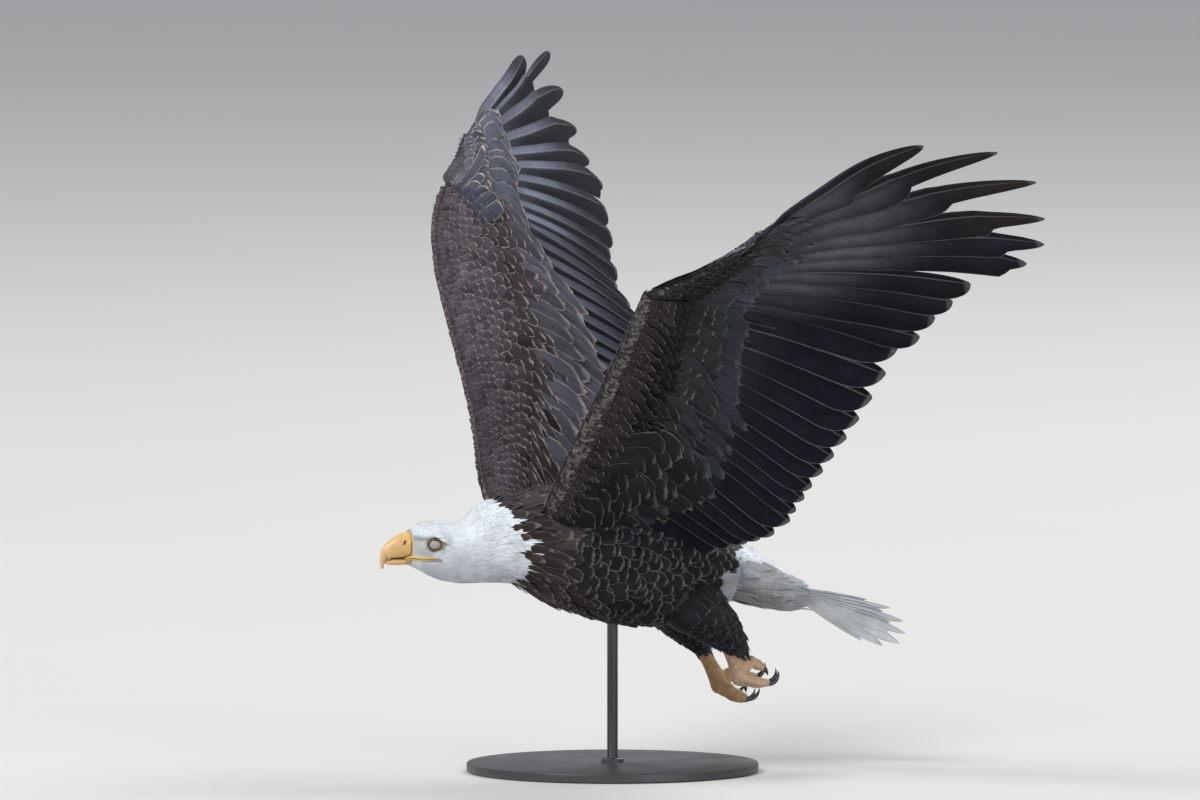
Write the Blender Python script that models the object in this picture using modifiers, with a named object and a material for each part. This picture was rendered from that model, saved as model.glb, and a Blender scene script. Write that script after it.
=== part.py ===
"""Bald eagle in flight, life size, held by a plain display stand.

The bird is laid out in a body frame (x forward, y to its left, z up, metres), then
banked and set over the stand.  The origin is the centre of the stand's underside.
Each named part of the body is one closed solid, and neighbours keep a small gap.
"""

import math

import bmesh
import bpy
from mathutils import Matrix, Vector

# ---------------------------------------------------------------- driving dimensions
GAP = 0.0004            # clearance between neighbouring solids
BODY_AT = (0.0, 0.0, 0.288)   # body frame's origin over the stand
BANK = 7.0              # degrees, left side down
VANE = 0.0011           # thickness of flight-feather sheets

STAND_RADIUS = 0.19
STAND_THICK = 0.012
STAND_EDGE = 0.0015
ROD_RADIUS = 0.007
ROD_REACH = 0.060       # the rod's top stops this far under the body frame, then is cut to the belly

# Trunk, neck and head: x, crown height, keel height, half width, height of the widest level
TORSO = (
    (0.2905, 0.0355, -0.0098, 0.0150, 0.0120),
    (0.2840, 0.0408, -0.0128, 0.0205, 0.0130),
    (0.2740, 0.0455, -0.0180, 0.0270, 0.0130),
    (0.2600, 0.0478, -0.0258, 0.0312, 0.0110),
    (0.2450, 0.0478, -0.0318, 0.0345, 0.0080),
    (0.2300, 0.0460, -0.0352, 0.0375, 0.0060),
    (0.2160, 0.0445, -0.0370, 0.0400, 0.0050),
    (0.2000, 0.0545, -0.0370, 0.0450, 0.0080),
    (0.1820, 0.0695, -0.0372, 0.0530, 0.0130),
    (0.1600, 0.0765, -0.0380, 0.0620, 0.0170),
    (0.1370, 0.0805, -0.0420, 0.0710, 0.0180),
    (0.1135, 0.0845, -0.0545, 0.0790, 0.0150),
    (0.0840, 0.0880, -0.0705, 0.0850, 0.0100),
    (0.0500, 0.0870, -0.0820, 0.0880, 0.0040),
    (0.0000, 0.0820, -0.0965, 0.0890, -0.0060),
    (-0.0450, 0.0700, -0.1010, 0.0860, -0.0160),
    (-0.0900, 0.0520, -0.0980, 0.0790, -0.0240),
    (-0.1250, 0.0340, -0.0880, 0.0680, -0.0270),
    (-0.1560, 0.0140, -0.0740, 0.0560, -0.0290),
)
HEAD_BACK = 0.212       # planes of the thin cuts between head, neck, trunk and rump
NECK_BACK = 0.140
TRUNK_BACK = -0.150
BODY_SIDES = 24
BROW_ANGLE = 38.0       # degrees above level, seen along the head
BROW_RISE = 0.0026
LORE_SINK = 0.0022

EYE_RADIUS = 0.0115
EYE_AT = (0.2635, 0.0232, 0.0215)

# Tail: base point, direction, fan of twelve feathers
TAIL_BASE = (-0.180, 0.0, -0.034)
TAIL_YAW = 25.0
TAIL_DROP = 15.5
TAIL_TWIST = 40.0       # left edge raised at the tip; grows from nothing at the base
TAIL_FAN = 15.0         # half angle between the outermost feathers
TAIL_LENGTH = 0.236
TAIL_SHORTEN = 0.052    # how much shorter the outermost feathers are
TAIL_FEATHERS = 12
TAIL_ROOT_HALF = 0.017
TAIL_EDGE_RISE = 0.011
TAIL_TIP_SAG = 0.015
# Rump sections along the tail: distance, half width, rise above and depth below the tail's plane
RUMP = (
    (-0.002, 0.0500, 0.0390, 0.0400),
    (0.022, 0.0470, 0.0350, 0.0380),
    (0.045, 0.0450, 0.0290, 0.0350),
    (0.068, 0.0440, 0.0210, 0.0320),
    (0.088, 0.0430, 0.0130, 0.0240),
    (0.102, 0.0400, 0.0050, 0.0080),
)

# Wing skeleton
SHOULDER = (0.105, 0.062, 0.045)
ARM = 0.434             # shoulder to wrist
HUMERUS = 0.215
ULNA = 0.240
MANUS = 0.170
PRIMARIES = 10
SECONDARIES = 16
SECONDARY_LENGTH = 0.324
SECONDARY_STEP = 0.0060
SECONDARY_TAPER = 0.0004
INNERMOST_SHORTEN = 10
WRIST_TURN = 7.0        # degrees between the innermost primary and the first secondary
# Each wing, in degrees: arm rise and sweep; hand rise, sweep and twist; elbow drop; drop and
# inward turn of the middle and inner secondaries; angle of each primary to the hand, from the
# innermost.  In metres: the primaries' lengths, and the leading edge's root and forward bulge.
LEFT = dict(
    arm=(53.8, -0.8), hand=(30.7, -19.2, 17.7), elbow=25.3,
    middle=(40.5, -18.6), inner=(26.7, -14.0),
    angles=(59.5, 52.6, 47.8, 42.6, 37.6, 32.6, 26.4, 16.0, 6.1, -3.9),
    lengths=(0.343, 0.345, 0.354, 0.366, 0.431, 0.449, 0.454, 0.468, 0.452, 0.374),
    lead_root=(0.124, 0.066, 0.078), bulge=-0.004,
)
RIGHT = dict(
    arm=(60.5, 2.8), hand=(16.9, -25.9, 34.8), elbow=23.3,
    middle=(26.9, -16.5), inner=(23.8, -12.0),
    angles=(54.0, 50.6, 45.2, 40.2, 35.6, 30.8, 25.0, 18.4, 13.2, 11.0),
    lengths=(0.343, 0.340, 0.360, 0.376, 0.401, 0.398, 0.416, 0.455, 0.497, 0.392),
    lead_root=(0.158, 0.066, 0.068), bulge=0.027,
)
# Share of its length at which each outer primary stands free, and where the gap inside it ends
NOTCH = {10: 0.58, 9: 0.56, 8: 0.64, 7: 0.74, 6: 0.84, 5: 0.89}
GAP_END = {9.5: 0.52, 8.5: 0.62, 7.5: 0.69, 6.5: 0.83, 5.5: 0.88, 4.5: 0.94}
FINGER_HALF = 0.0205
FINGER_STEP = 0.0175    # share of its length that a finger stands off the closed vanes
VANE_TILT = 0.12        # leading edge of each vane stands up by this share of its half width
FEATHER_BOW = 0.045     # rise of a vane's middle over its chord

# Legs: hip, knee, end of the trousers, ankle, palm, toe direction, curl direction (body frame)
LEG_LEFT = dict(hip=(-0.070, 0.046, -0.048), knee=(-0.112, 0.052, -0.076),
                cuff=(-0.161, 0.048, -0.121), ankle=(-0.1536, 0.046, -0.128),
                palm=(-0.1725, 0.043, -0.1635), hip_radius=0.044, cuff_radius=0.019,
                toes=(-0.92, 0.03, -0.40), curl=(-0.40, 0.0, 0.92))
LEG_RIGHT = dict(hip=(-0.070, -0.046, -0.050), knee=(-0.112, -0.044, -0.090),
                 cuff=(-0.154, -0.040, -0.143), ankle=(-0.1575, -0.040, -0.1500),
                 palm=(-0.1815, -0.038, -0.1905), hip_radius=0.042, cuff_radius=0.0135,
                 toes=(-0.74, 0.05, -0.67), curl=(-0.67, 0.0, 0.74))

# Toes: sideways offset and spread, rise towards the curl side, length, radius, bend as a share
# of the length, talon's curve radius and the angle that it turns through (degrees)
TOES = {
    "inner": dict(offset=-0.0145, spread=-0.28, raised=0.0, length=0.030, radius=0.0070,
                  bend=0.20, talon=0.0135, turn=115.0),
    "middle": dict(offset=0.0, spread=0.0, raised=-0.004, length=0.036, radius=0.0070,
                   bend=0.24, talon=0.0135, turn=115.0),
    "outer": dict(offset=0.0145, spread=0.26, raised=0.0, length=0.030, radius=0.0062,
                  bend=0.20, talon=0.0120, turn=115.0),
    "hind": dict(offset=0.0, spread=0.0, raised=0.0225, length=0.022, radius=0.0070,
                 bend=-0.05, talon=0.0170, turn=-48.0),
}

# Upper bill, as sections that tip over round the hook.  Each is the crest's distance forward of
# the face and height, the cutting edge's distance forward and height, and the half width.
BILL_BASE = 0.2920
BILL = (
    (0.0000, 0.0340, 0.0000, 0.0006, 0.0130),
    (0.0100, 0.0328, 0.0100, 0.0002, 0.0118),
    (0.0185, 0.0297, 0.0185, -0.0002, 0.0102),
    (0.0265, 0.0240, 0.0225, -0.0006, 0.0085),
    (0.0330, 0.0165, 0.0275, -0.0040, 0.0065),
    (0.0370, 0.0070, 0.0257, 0.0020, 0.0045),
    (0.0376, -0.0040, 0.0304, -0.0043, 0.0027),
    (0.0352, -0.0145, 0.0318, -0.0133, 0.0012),
)
# Lower bill: distance forward of the face, height of its edge and of its underside, half width
LOWER_BILL = (
    (0.0000, -0.0014, -0.0090, 0.0115),
    (0.0110, -0.0018, -0.0093, 0.0100),
    (0.0205, -0.0025, -0.0093, 0.0078),
    (0.0265, -0.0046, -0.0086, 0.0050),
    (0.0294, -0.0070, -0.0080, 0.0026),
)
BILL_SIDES = 12
RIDGE_NARROWING = 0.35  # how much narrower a bill section is at its crest

PARTS = "bald_eagle"
CUTTERS = "cutters"

COLOURS = {
    "white_plumage": ((0.80, 0.81, 0.83), 0.75, 0.0),
    "dark_plumage": ((0.045, 0.036, 0.033), 0.70, 0.0),
    "wing_plumage": ((0.055, 0.050, 0.052), 0.60, 0.0),
    "bill_horn": ((0.82, 0.50, 0.16), 0.38, 0.0),
    "foot_skin": ((0.62, 0.36, 0.14), 0.60, 0.0),
    "talon_horn": ((0.015, 0.015, 0.018), 0.25, 0.0),
    "eye": ((0.34, 0.30, 0.26), 0.10, 0.0),
    "stand_metal": ((0.10, 0.10, 0.11), 0.35, 0.8),
}


# ---------------------------------------------------------------- helpers
def clear_scene():
    for thing in list(bpy.data.objects):
        bpy.data.objects.remove(thing, do_unlink=True)


def collection(name):
    group = bpy.data.collections.new(name)
    bpy.context.scene.collection.children.link(group)
    return group


def material(name):
    made = bpy.data.materials.get(name)
    if made is None:
        colour, roughness, metallic = COLOURS[name]
        made = bpy.data.materials.new(name)
        made.use_nodes = True
        shader = made.node_tree.nodes["Principled BSDF"]
        shader.inputs["Base Color"].default_value = (*colour, 1.0)
        shader.inputs["Roughness"].default_value = roughness
        shader.inputs["Metallic"].default_value = metallic
    return made


def placement():
    """Body frame to world: turn to face -X, bank, and lift over the stand."""
    turn = Matrix.Rotation(math.pi, 4, "Z")
    bank = Matrix.Rotation(math.radians(BANK), 4, "X")
    return Matrix.Translation(BODY_AT) @ bank @ turn


def add_object(name, shape, finish, matrix=None, smooth=True):
    """Turn a bmesh into a named object of the model."""
    bmesh.ops.recalc_face_normals(shape, faces=shape.faces)
    mesh = bpy.data.meshes.new(name)
    shape.to_mesh(mesh)
    shape.free()
    if matrix is not None:
        mesh.transform(matrix)
    mesh.materials.append(material(finish))
    if smooth:
        mesh.shade_smooth()
        mesh.set_sharp_from_angle(angle=math.radians(50.0))
    made = bpy.data.objects.new(name, mesh)
    bpy.data.collections[PARTS].objects.link(made)
    return made


def lerp(a, b, t):
    return a + (b - a) * t


def table_at(table, x):
    """Smooth reading of a table whose first column steps one way (Catmull-Rom)."""
    rows = table if table[0][0] < table[-1][0] else tuple(reversed(table))
    last = len(rows) - 1
    i = 0
    while i < last - 1 and x > rows[i + 1][0]:
        i += 1
    before, low, high, after = rows[max(i - 1, 0)], rows[i], rows[i + 1], rows[min(i + 2, last)]
    span = high[0] - low[0]
    t = min(max((x - low[0]) / span, 0.0), 1.0)
    values = []
    for column in range(1, len(low)):
        slope_low = (high[column] - before[column]) / (high[0] - before[0]) * span
        slope_high = (after[column] - low[column]) / (after[0] - low[0]) * span
        values.append((2 * t**3 - 3 * t**2 + 1) * low[column]
                      + (t**3 - 2 * t**2 + t) * slope_low
                      + (3 * t**2 - 2 * t**3) * high[column]
                      + (t**3 - t**2) * slope_high)
    return values


def loft(rings):
    """One solid through closed rings of equal count, with flat end caps."""
    shape = bmesh.new()
    loops = [[shape.verts.new(point) for point in ring] for ring in rings]
    count = len(loops[0])
    for near, far in zip(loops, loops[1:]):
        for i in range(count):
            j = (i + 1) % count
            shape.faces.new((near[i], near[j], far[j], far[i]))
    shape.faces.new(loops[0])
    shape.faces.new(loops[-1])
    return shape


def slab(top, bottom):
    """One solid between two point grids of equal size, walled round its border."""
    shape = bmesh.new()
    upper = [[shape.verts.new(point) for point in row] for row in top]
    lower = [[shape.verts.new(point) for point in row] for row in bottom]
    rows, columns = len(upper), len(upper[0])
    for grid in (upper, lower):
        for i in range(rows - 1):
            for j in range(columns - 1):
                shape.faces.new((grid[i][j], grid[i + 1][j], grid[i + 1][j + 1], grid[i][j + 1]))
    border = [(i, 0) for i in range(rows)]
    border += [(rows - 1, j) for j in range(1, columns)]
    border += [(i, columns - 1) for i in range(rows - 2, -1, -1)]
    border += [(0, j) for j in range(columns - 2, 0, -1)]
    for (i, j), (k, m) in zip(border, border[1:] + border[:1]):
        shape.faces.new((upper[i][j], upper[k][m], lower[k][m], lower[i][j]))
    return shape


def tube(points, radii, sides, flatten=1.0, up=Vector((0, 0, 1))):
    """Tapered tube along a path; flatten squeezes it along its own up direction."""
    rings = []
    last = len(points) - 1
    for i, (centre, radius) in enumerate(zip(points, radii)):
        along = (points[min(i + 1, last)] - points[max(i - 1, 0)]).normalized()
        side = along.cross(up).normalized()
        rise = side.cross(along)
        rings.append([centre + side * radius * math.cos(a) + rise * radius * flatten * math.sin(a)
                      for a in (2 * math.pi * k / sides for k in range(sides))])
    return loft(rings)


def power(value, exponent):
    return math.copysign(abs(value) ** exponent, value)


# ---------------------------------------------------------------- body
def torso_ring(x, grow=0.0):
    """Cross-section of head, neck or trunk at x; the head has brows and hollow lores."""
    crown, keel, half, level = table_at(TORSO, x)
    ring = []
    for k in range(BODY_SIDES):
        angle = 2 * math.pi * k / BODY_SIDES
        across = power(math.cos(angle), 0.90)
        rise = power(math.sin(angle), 0.90)
        height = (crown - level) if rise > 0 else (level - keel)
        y = across * (half + grow)
        z = level + rise * (height + grow)
        if x > HEAD_BACK:
            from_brow = math.degrees(math.asin(max(-1.0, min(1.0, math.sin(angle))))) - BROW_ANGLE
            along = math.exp(-((x - 0.2690) / 0.016) ** 2)
            brow = BROW_RISE * along * math.exp(-(from_brow / 16.0) ** 2)
            lore = LORE_SINK * along * math.exp(-((from_brow + 32.0) / 16.0) ** 2)
            y += math.copysign(brow - lore, y) if abs(y) > 0.008 else 0.0
        ring.append(Vector((x, y, z)))
    return ring


def torso_stations(front, back, extra=()):
    rows = [row[0] for row in TORSO if back < row[0] < front]
    return [front] + rows + list(extra) + [back]


def build_torso(place):
    stretches = (
        ("head", "white_plumage", TORSO[0][0], HEAD_BACK + GAP / 2),
        ("neck", "white_plumage", HEAD_BACK - GAP / 2, NECK_BACK + GAP / 2),
        ("trunk", "dark_plumage", NECK_BACK - GAP / 2, TRUNK_BACK + GAP / 2),
    )
    made = {}
    for name, finish, front, back in stretches:
        rings = [torso_ring(x) for x in torso_stations(front, back)]
        made[name] = add_object(name, loft(rings), finish, place)
    return made


def tail_frame(twist):
    """Tail's direction, side and plane normal for a given twist in degrees."""
    yaw, drop = math.radians(TAIL_YAW), math.radians(TAIL_DROP)
    along = Vector((-math.cos(drop) * math.cos(yaw), math.cos(drop) * math.sin(yaw),
                    -math.sin(drop)))
    side = (Vector((0, 1, 0)) - along * along.y).normalized()
    normal = side.cross(along)
    if normal.z < 0:
        normal = -normal
    turn = math.radians(twist)
    return (along, side * math.cos(turn) + normal * math.sin(turn),
            normal * math.cos(turn) - side * math.sin(turn))


def build_rump(place):
    first = [point.copy() for point in torso_ring(TRUNK_BACK - GAP / 2)]
    rings = [first]
    for distance, half, above, below in RUMP:
        along, side, normal = tail_frame(TAIL_TWIST * max(distance, 0.0) / TAIL_LENGTH)
        centre = Vector(TAIL_BASE) + along * distance
        ring = []
        for k in range(BODY_SIDES):
            angle = 2 * math.pi * k / BODY_SIDES
            rise = math.sin(angle)
            ring.append(centre + side * half * power(math.cos(angle), 0.85)
                        + normal * (above if rise > 0 else below) * rise)
        rings.append(ring)
    return add_object("rump", loft(rings), "white_plumage", place)


def tail_point(share, reach, lift=0.0):
    """Point on the tail: share from -1 (right) to 1 (left), reach along its feathers."""
    length = TAIL_LENGTH - TAIL_SHORTEN * share * share
    fan = math.radians(TAIL_FAN) * share
    forward = math.cos(fan) * length * reach
    sideways = TAIL_ROOT_HALF * share + math.sin(fan) * length * reach
    along, side, normal = tail_frame(TAIL_TWIST * forward / TAIL_LENGTH)
    sag = TAIL_TIP_SAG * reach * reach - TAIL_EDGE_RISE * share * share * reach
    return Vector(TAIL_BASE) + along * forward + side * sideways + normal * (lift - sag)


def build_tail(place):
    """Fan of twelve feathers as one sheet with a scalloped end."""
    steps = 2 * TAIL_FEATHERS
    top, bottom = [], []
    start = (RUMP[-1][0] + 2 * GAP) / TAIL_LENGTH
    for i in range(steps + 1):
        share = -1.0 + 2.0 * i / steps
        edge = abs(share) > 0.99
        tip = 0.93 if edge else (1.0 if i % 2 else 0.925)
        row_top, row_bottom = [], []
        for j in range(5):
            length = TAIL_LENGTH - TAIL_SHORTEN * share * share
            root = start * TAIL_LENGTH / (length * math.cos(math.radians(TAIL_FAN) * share))
            reach = lerp(root, tip, j / 4)
            thick = VANE * (1.2 - 0.5 * j / 4)
            row_top.append(tail_point(share, reach, thick / 2))
            row_bottom.append(tail_point(share, reach, -thick / 2))
        top.append(row_top)
        bottom.append(row_bottom)
    return add_object("tail", slab(top, bottom), "white_plumage", place)


# ---------------------------------------------------------------- head parts
def bill_ring(crest, low, half):
    """Section of the bill between its crest and its lower edge."""
    middle, rise = (crest + low) / 2, (crest - low) / 2
    ring = []
    for k in range(BILL_SIDES):
        angle = 2 * math.pi * k / BILL_SIDES
        height = math.sin(angle)
        width = half * (1.0 - RIDGE_NARROWING * max(height, 0.0)**2)
        ring.append(middle + rise * power(height, 0.82)
                    + Vector((0.0, width * power(math.cos(angle), 0.77), 0.0)))
    return ring


def build_bill(place):
    face = Vector((BILL_BASE, 0.0, 0.0))
    upper = [bill_ring(face + Vector((ahead, 0.0, top)), face + Vector((below, 0.0, low)), half)
             for ahead, top, below, low, half in BILL]
    add_object("bill_upper", loft(upper), "bill_horn", place)
    lower = [bill_ring(face + Vector((ahead, 0.0, top)), face + Vector((ahead, 0.0, low)), half)
             for ahead, top, low, half in LOWER_BILL]
    add_object("bill_lower", loft(lower), "bill_horn", place)


def build_eyes(place):
    """Eyeballs, with sockets of the same shape cut from the head."""
    for side, sign in (("left", 1.0), ("right", -1.0)):
        centre = Vector((EYE_AT[0], sign * EYE_AT[1], EYE_AT[2]))
        for grow, group in ((0.0, PARTS), (GAP, CUTTERS)):
            shape = bmesh.new()
            bmesh.ops.create_uvsphere(shape, u_segments=14, v_segments=8,
                                      radius=EYE_RADIUS + grow,
                                      matrix=Matrix.Translation(centre))
            if group == PARTS:
                add_object("eye_" + side, shape, "eye", place)
            else:
                cutter = add_object("socket_" + side, shape, "eye", place)
                make_cutter(cutter)
                cut(bpy.data.objects["head"], cutter)


# ---------------------------------------------------------------- cutting
def make_cutter(thing):
    bpy.data.collections[PARTS].objects.unlink(thing)
    bpy.data.collections[CUTTERS].objects.link(thing)
    thing.hide_render = True
    thing.display_type = "WIRE"


def cut(thing, cutter):
    boolean = thing.modifiers.new("cut_" + cutter.name, "BOOLEAN")
    boolean.operation = "DIFFERENCE"
    boolean.solver = "EXACT"
    boolean.object = cutter


def trunk_cutter(place):
    """Trunk and its neighbours, a little larger, as one cutter."""
    xs = [TORSO[1][0]] + [row[0] for row in TORSO[2:-1]] + [TRUNK_BACK - 0.02]
    rings = [torso_ring(x, GAP) for x in xs]
    cutter = add_object("torso_clearance", loft(rings), "dark_plumage", place)
    make_cutter(cutter)
    return cutter


# ---------------------------------------------------------------- wings
class Wing:
    """Skeleton and feather layout of one wing, from its named angles."""

    def __init__(self, pose, sign):
        self.sign = sign
        rise, sweep = (math.radians(a) for a in pose["arm"])
        self.shoulder = Vector(SHOULDER)
        outward = Vector((math.sin(sweep), math.cos(sweep) * math.cos(rise),
                          math.cos(sweep) * math.sin(rise)))
        self.wrist = self.shoulder + ARM * outward
        back = self.backward(outward)
        down = math.radians(pose["elbow"])
        elbow_way = back * math.cos(down) - outward.cross(back) * math.sin(down)
        along = (HUMERUS**2 - ULNA**2 + ARM**2) / (2 * ARM)
        self.elbow = (self.shoulder + outward * along
                      + elbow_way * math.sqrt(HUMERUS**2 - along**2))
        rise, sweep, twist = (math.radians(a) for a in pose["hand"])
        self.hand = Vector((math.sin(sweep), math.cos(sweep) * math.cos(rise),
                            math.cos(sweep) * math.sin(rise)))
        back = self.backward(self.hand)
        normal = self.hand.cross(back)
        self.hand_back = back * math.cos(twist) - normal * math.sin(twist)
        self.hand_up = self.hand.cross(self.hand_back)
        self.angles, self.lengths = pose["angles"], pose["lengths"]
        self.lead_root, self.bulge = Vector(pose["lead_root"]), pose["bulge"]
        self.middle = self.drooped(*pose["middle"])
        self.inner = self.drooped(*pose["inner"])

    @staticmethod
    def backward(axis):
        back = Vector((-1, 0, 0))
        return (back - axis * back.dot(axis)).normalized()

    @staticmethod
    def drooped(drop, turn):
        drop, turn = math.radians(drop), math.radians(turn)
        return Vector((-math.cos(drop) * math.cos(turn), math.cos(drop) * math.sin(turn),
                       -math.sin(drop)))

    def root(self, q):
        """Root of feather q: 0 is the outermost primary, 10 the first secondary."""
        if q <= 9:
            return self.wrist + self.hand * MANUS * (9 - q) / 9
        place = q - 10
        if place <= 0:
            return self.wrist.copy()
        if place <= 10:
            return self.wrist.lerp(self.elbow, place / 10.5)
        if place <= 15:
            return self.elbow.lerp(self.shoulder, (place - 10) / 5 * 0.55)
        return self.elbow.lerp(self.shoulder, 0.55 + min((place - 15) / 3, 1.0) * 0.45)

    @staticmethod
    def between(values, number):
        low = min(max(int(math.floor(number)), 0), len(values) - 1)
        return lerp(values[low], values[min(low + 1, len(values) - 1)], number - low)

    def heading(self, q):
        angle = math.radians(self.between(self.angles, 9 - q) if q <= 9 else self.angles[0] + WRIST_TURN)
        outer = self.hand * math.cos(angle) + self.hand_back * math.sin(angle)
        if q <= 9:
            return outer
        if q < 10:
            return self.heading(9).lerp(outer, q - 9).normalized()
        t = min((q - 10) / (SECONDARIES - 1), 1.0)
        way = outer * (1 - t)**2 + self.middle * 2 * t * (1 - t) + self.inner * t * t
        return way.normalized()

    def length(self, q):
        if q <= 9:
            return self.between(self.lengths, 9 - q)
        place = min(max(q - 10, 0), SECONDARIES - 1)
        inner = max(place + 1 - INNERMOST_SHORTEN, 0)
        full = SECONDARY_LENGTH - SECONDARY_STEP * place - SECONDARY_TAPER * inner * inner
        return full if q >= 10 else lerp(self.lengths[0], full, q - 9)

    def normal(self, q):
        """Upper side of the wing at feather q, averaged over its neighbours."""
        total = Vector()
        for step in (-2.0, -1.0, 0.0, 1.0, 2.0):
            here = min(max(q + step, 0.5), 24.5)
            outer, inner = here - 0.5, here + 0.5
            across = ((self.root(outer) + self.heading(outer) * self.length(outer) * 0.4)
                      - (self.root(inner) + self.heading(inner) * self.length(inner) * 0.4))
            total += across.cross(self.heading(here)).normalized()
        return total.normalized()

    def vane(self, q, reach):
        """Point on feather q's bowed middle line."""
        length = self.length(q)
        bow = FEATHER_BOW * length * 4 * reach * (1 - reach)
        return self.root(q) + self.heading(q) * length * reach + self.normal(q) * bow

    def lead(self, q):
        """Leading edge ahead of feather q's root."""
        front = self.wrist - self.hand_back * 0.020 - self.hand * 0.004
        if q <= 9:
            tip = self.wrist + self.hand * (MANUS + 0.020) - self.hand_back * 0.004
            share = (9 - q) / 9
            return front.lerp(tip, share)
        share = min(max(q - 10, 0) / 15, 1.0) ** 0.85
        ahead = self.bulge * 9.48 * share * (1 - share)**3
        buried = self.lead_root - Vector((0.0, 0.030, 0.030))
        end = self.lead_root.lerp(buried, max(q - 25, 0) / 3)
        return front.lerp(end, share) + Vector((ahead, 0.0, 0.0))

    def cover(self, q):
        """Share of feather q hidden by the coverts."""
        if q <= 9:
            return lerp(0.27, 0.38, q / 9)
        return lerp(0.40, 0.52, min((q - 10) / 6, 1.0))

    def flesh(self, q, share):
        """Middle point and half thickness of the fleshy wing across its chord."""
        lead, root, rear = self.lead(q), self.root(q), self.vane(q, self.cover(q))
        front = (root - lead).length
        whole = front + (rear - root).length
        reach = share * whole
        if reach < front:
            point = lead.lerp(root, reach / front)
        else:
            point = root.lerp(rear, (reach - front) / (whole - front))
        camber = 0.05 * whole * math.sin(math.pi * share)
        thickest = 0.0075 if q < 0.01 else lerp(0.0085, 0.0155, min(q / 14, 1.0))
        profile = math.sqrt(max(share, 0.004)) * (1 - share) * 2.45
        half = max(thickest * profile, lerp(0.0030, 0.0012, share))
        return point + self.normal(q) * camber, half

    def out(self, point):
        """Mirror to the right side where needed."""
        return Vector((point.x, point.y * self.sign, point.z))


def wing_slab(wing, stations, rows, mid):
    """Slab over feather stations; mid gives the middle point and half thickness."""
    top, bottom = [], []
    for q in stations:
        normal = wing.normal(q)
        pairs = [mid(q, row) for row in rows]
        top.append([wing.out(point + normal * half) for point, half in pairs])
        bottom.append([wing.out(point - normal * half) for point, half in pairs])
    return slab(top, bottom)


def sheet_end(q):
    """Outer end of the closed vanes at feather q: free fingers, then a scallop per feather."""
    number = 10 - q
    if number > 4.25:
        stops = {**NOTCH, **GAP_END}
        low = math.floor(number * 2) / 2
        high = min(low + 0.5, 10)
        return lerp(stops[low], stops[high], (number - low) * 2)
    return 1.0 if abs(q - round(q)) < 0.01 else 0.965


def build_wing(side, pose, sign, place, clearance):
    wing = Wing(pose, sign)
    chord = (0.0, 0.03, 0.10, 0.22, 0.38, 0.56, 0.78, 1.0)
    split = 9.6
    inward = (wing.elbow - wing.wrist).normalized() * 4 * GAP
    hand_q = [0.0, 1.5, 3.0, 4.5, 6.0, 7.5, 8.5, split - 0.02]
    arm_q = [split + 0.02, 10.5, 11.5, 13.0, 15.0, 16.5, 18.0, 19.5, 20.5, 22.0, 23.5, 25.0,
             26.5, 28.0]
    add_object("wing_hand_" + side, wing_slab(wing, hand_q, chord, wing.flesh),
               "wing_plumage", place)

    def parted(q, pair):
        """Move the station next to the wrist a little inward."""
        return (pair[0] + inward, pair[1]) if split < q < split + 0.1 else pair

    def arm_mid(q, share):
        return parted(q, wing.flesh(q, share))

    arm = add_object("wing_arm_" + side, wing_slab(wing, arm_q, chord, arm_mid),
                     "wing_plumage", place)
    cut(arm, clearance)

    def vane_mid(q, row):
        start = wing.cover(q) + 0.011
        reach = lerp(start, sheet_end(q), row)
        return parted(q, (wing.vane(q, reach), VANE * lerp(0.75, 0.45, row)))

    rows = (0.0, 0.5, 1.0)
    primary_q = sorted({0.0, split - 0.02} | {i / 2 for i in range(1, 20)})
    add_object("wing_primaries_" + side, wing_slab(wing, primary_q, rows, vane_mid),
               "wing_plumage", place)
    secondary_q = sorted({split + 0.02} | {10 + i / 2 for i in range(31)})
    inner = add_object("wing_secondaries_" + side, wing_slab(wing, secondary_q, rows, vane_mid),
                       "wing_plumage", place)
    cut(inner, clearance)
    for number in range(5, 11):
        build_finger(wing, side, number, place)
    build_alula(wing, side, place)


def build_finger(wing, side, number, place):
    """Free end of an outer primary: a narrow, slightly hollow vane with a round tip."""
    q = 10 - number
    heading, normal = wing.heading(q), wing.normal(q)
    across = normal.cross(heading)
    starts = []
    for step in (0.5, 0.0, -0.5):
        stop = {**NOTCH, **GAP_END}.get(number + step, 0.0)
        stop *= wing.length(max(q - step, 0.0)) / wing.length(q)
        starts.append(max(NOTCH[number], stop) + (FINGER_STEP if step else FINGER_STEP / 3))
    room = FINGER_HALF
    for other in (number - 1, number + 1):
        if other <= PRIMARIES:
            gap = wing.vane(10 - other, NOTCH[number]) - wing.vane(q, NOTCH[number])
            room = min(room, 0.47 * (gap - heading * gap.dot(heading)).length)
    top, bottom = [], []
    for i in range(8):
        share = i / 7
        width = lerp(room, FINGER_HALF * 0.75, share) * math.sqrt(max(1 - share**5, 0.03))
        half = VANE * lerp(0.45, 0.32, share)
        rows = [wing.vane(q, lerp(start, 1.0, share)) + across * width * k
                - normal * width * (0.08 * k * k + VANE_TILT * k)
                for k, start in zip((-1.0, 0.0, 1.0), starts)]
        top.append([wing.out(point + normal * half) for point in rows])
        bottom.append([wing.out(point - normal * half) for point in rows])
    add_object("primary_%02d_%s" % (number, side), slab(top, bottom), "wing_plumage", place)


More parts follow.
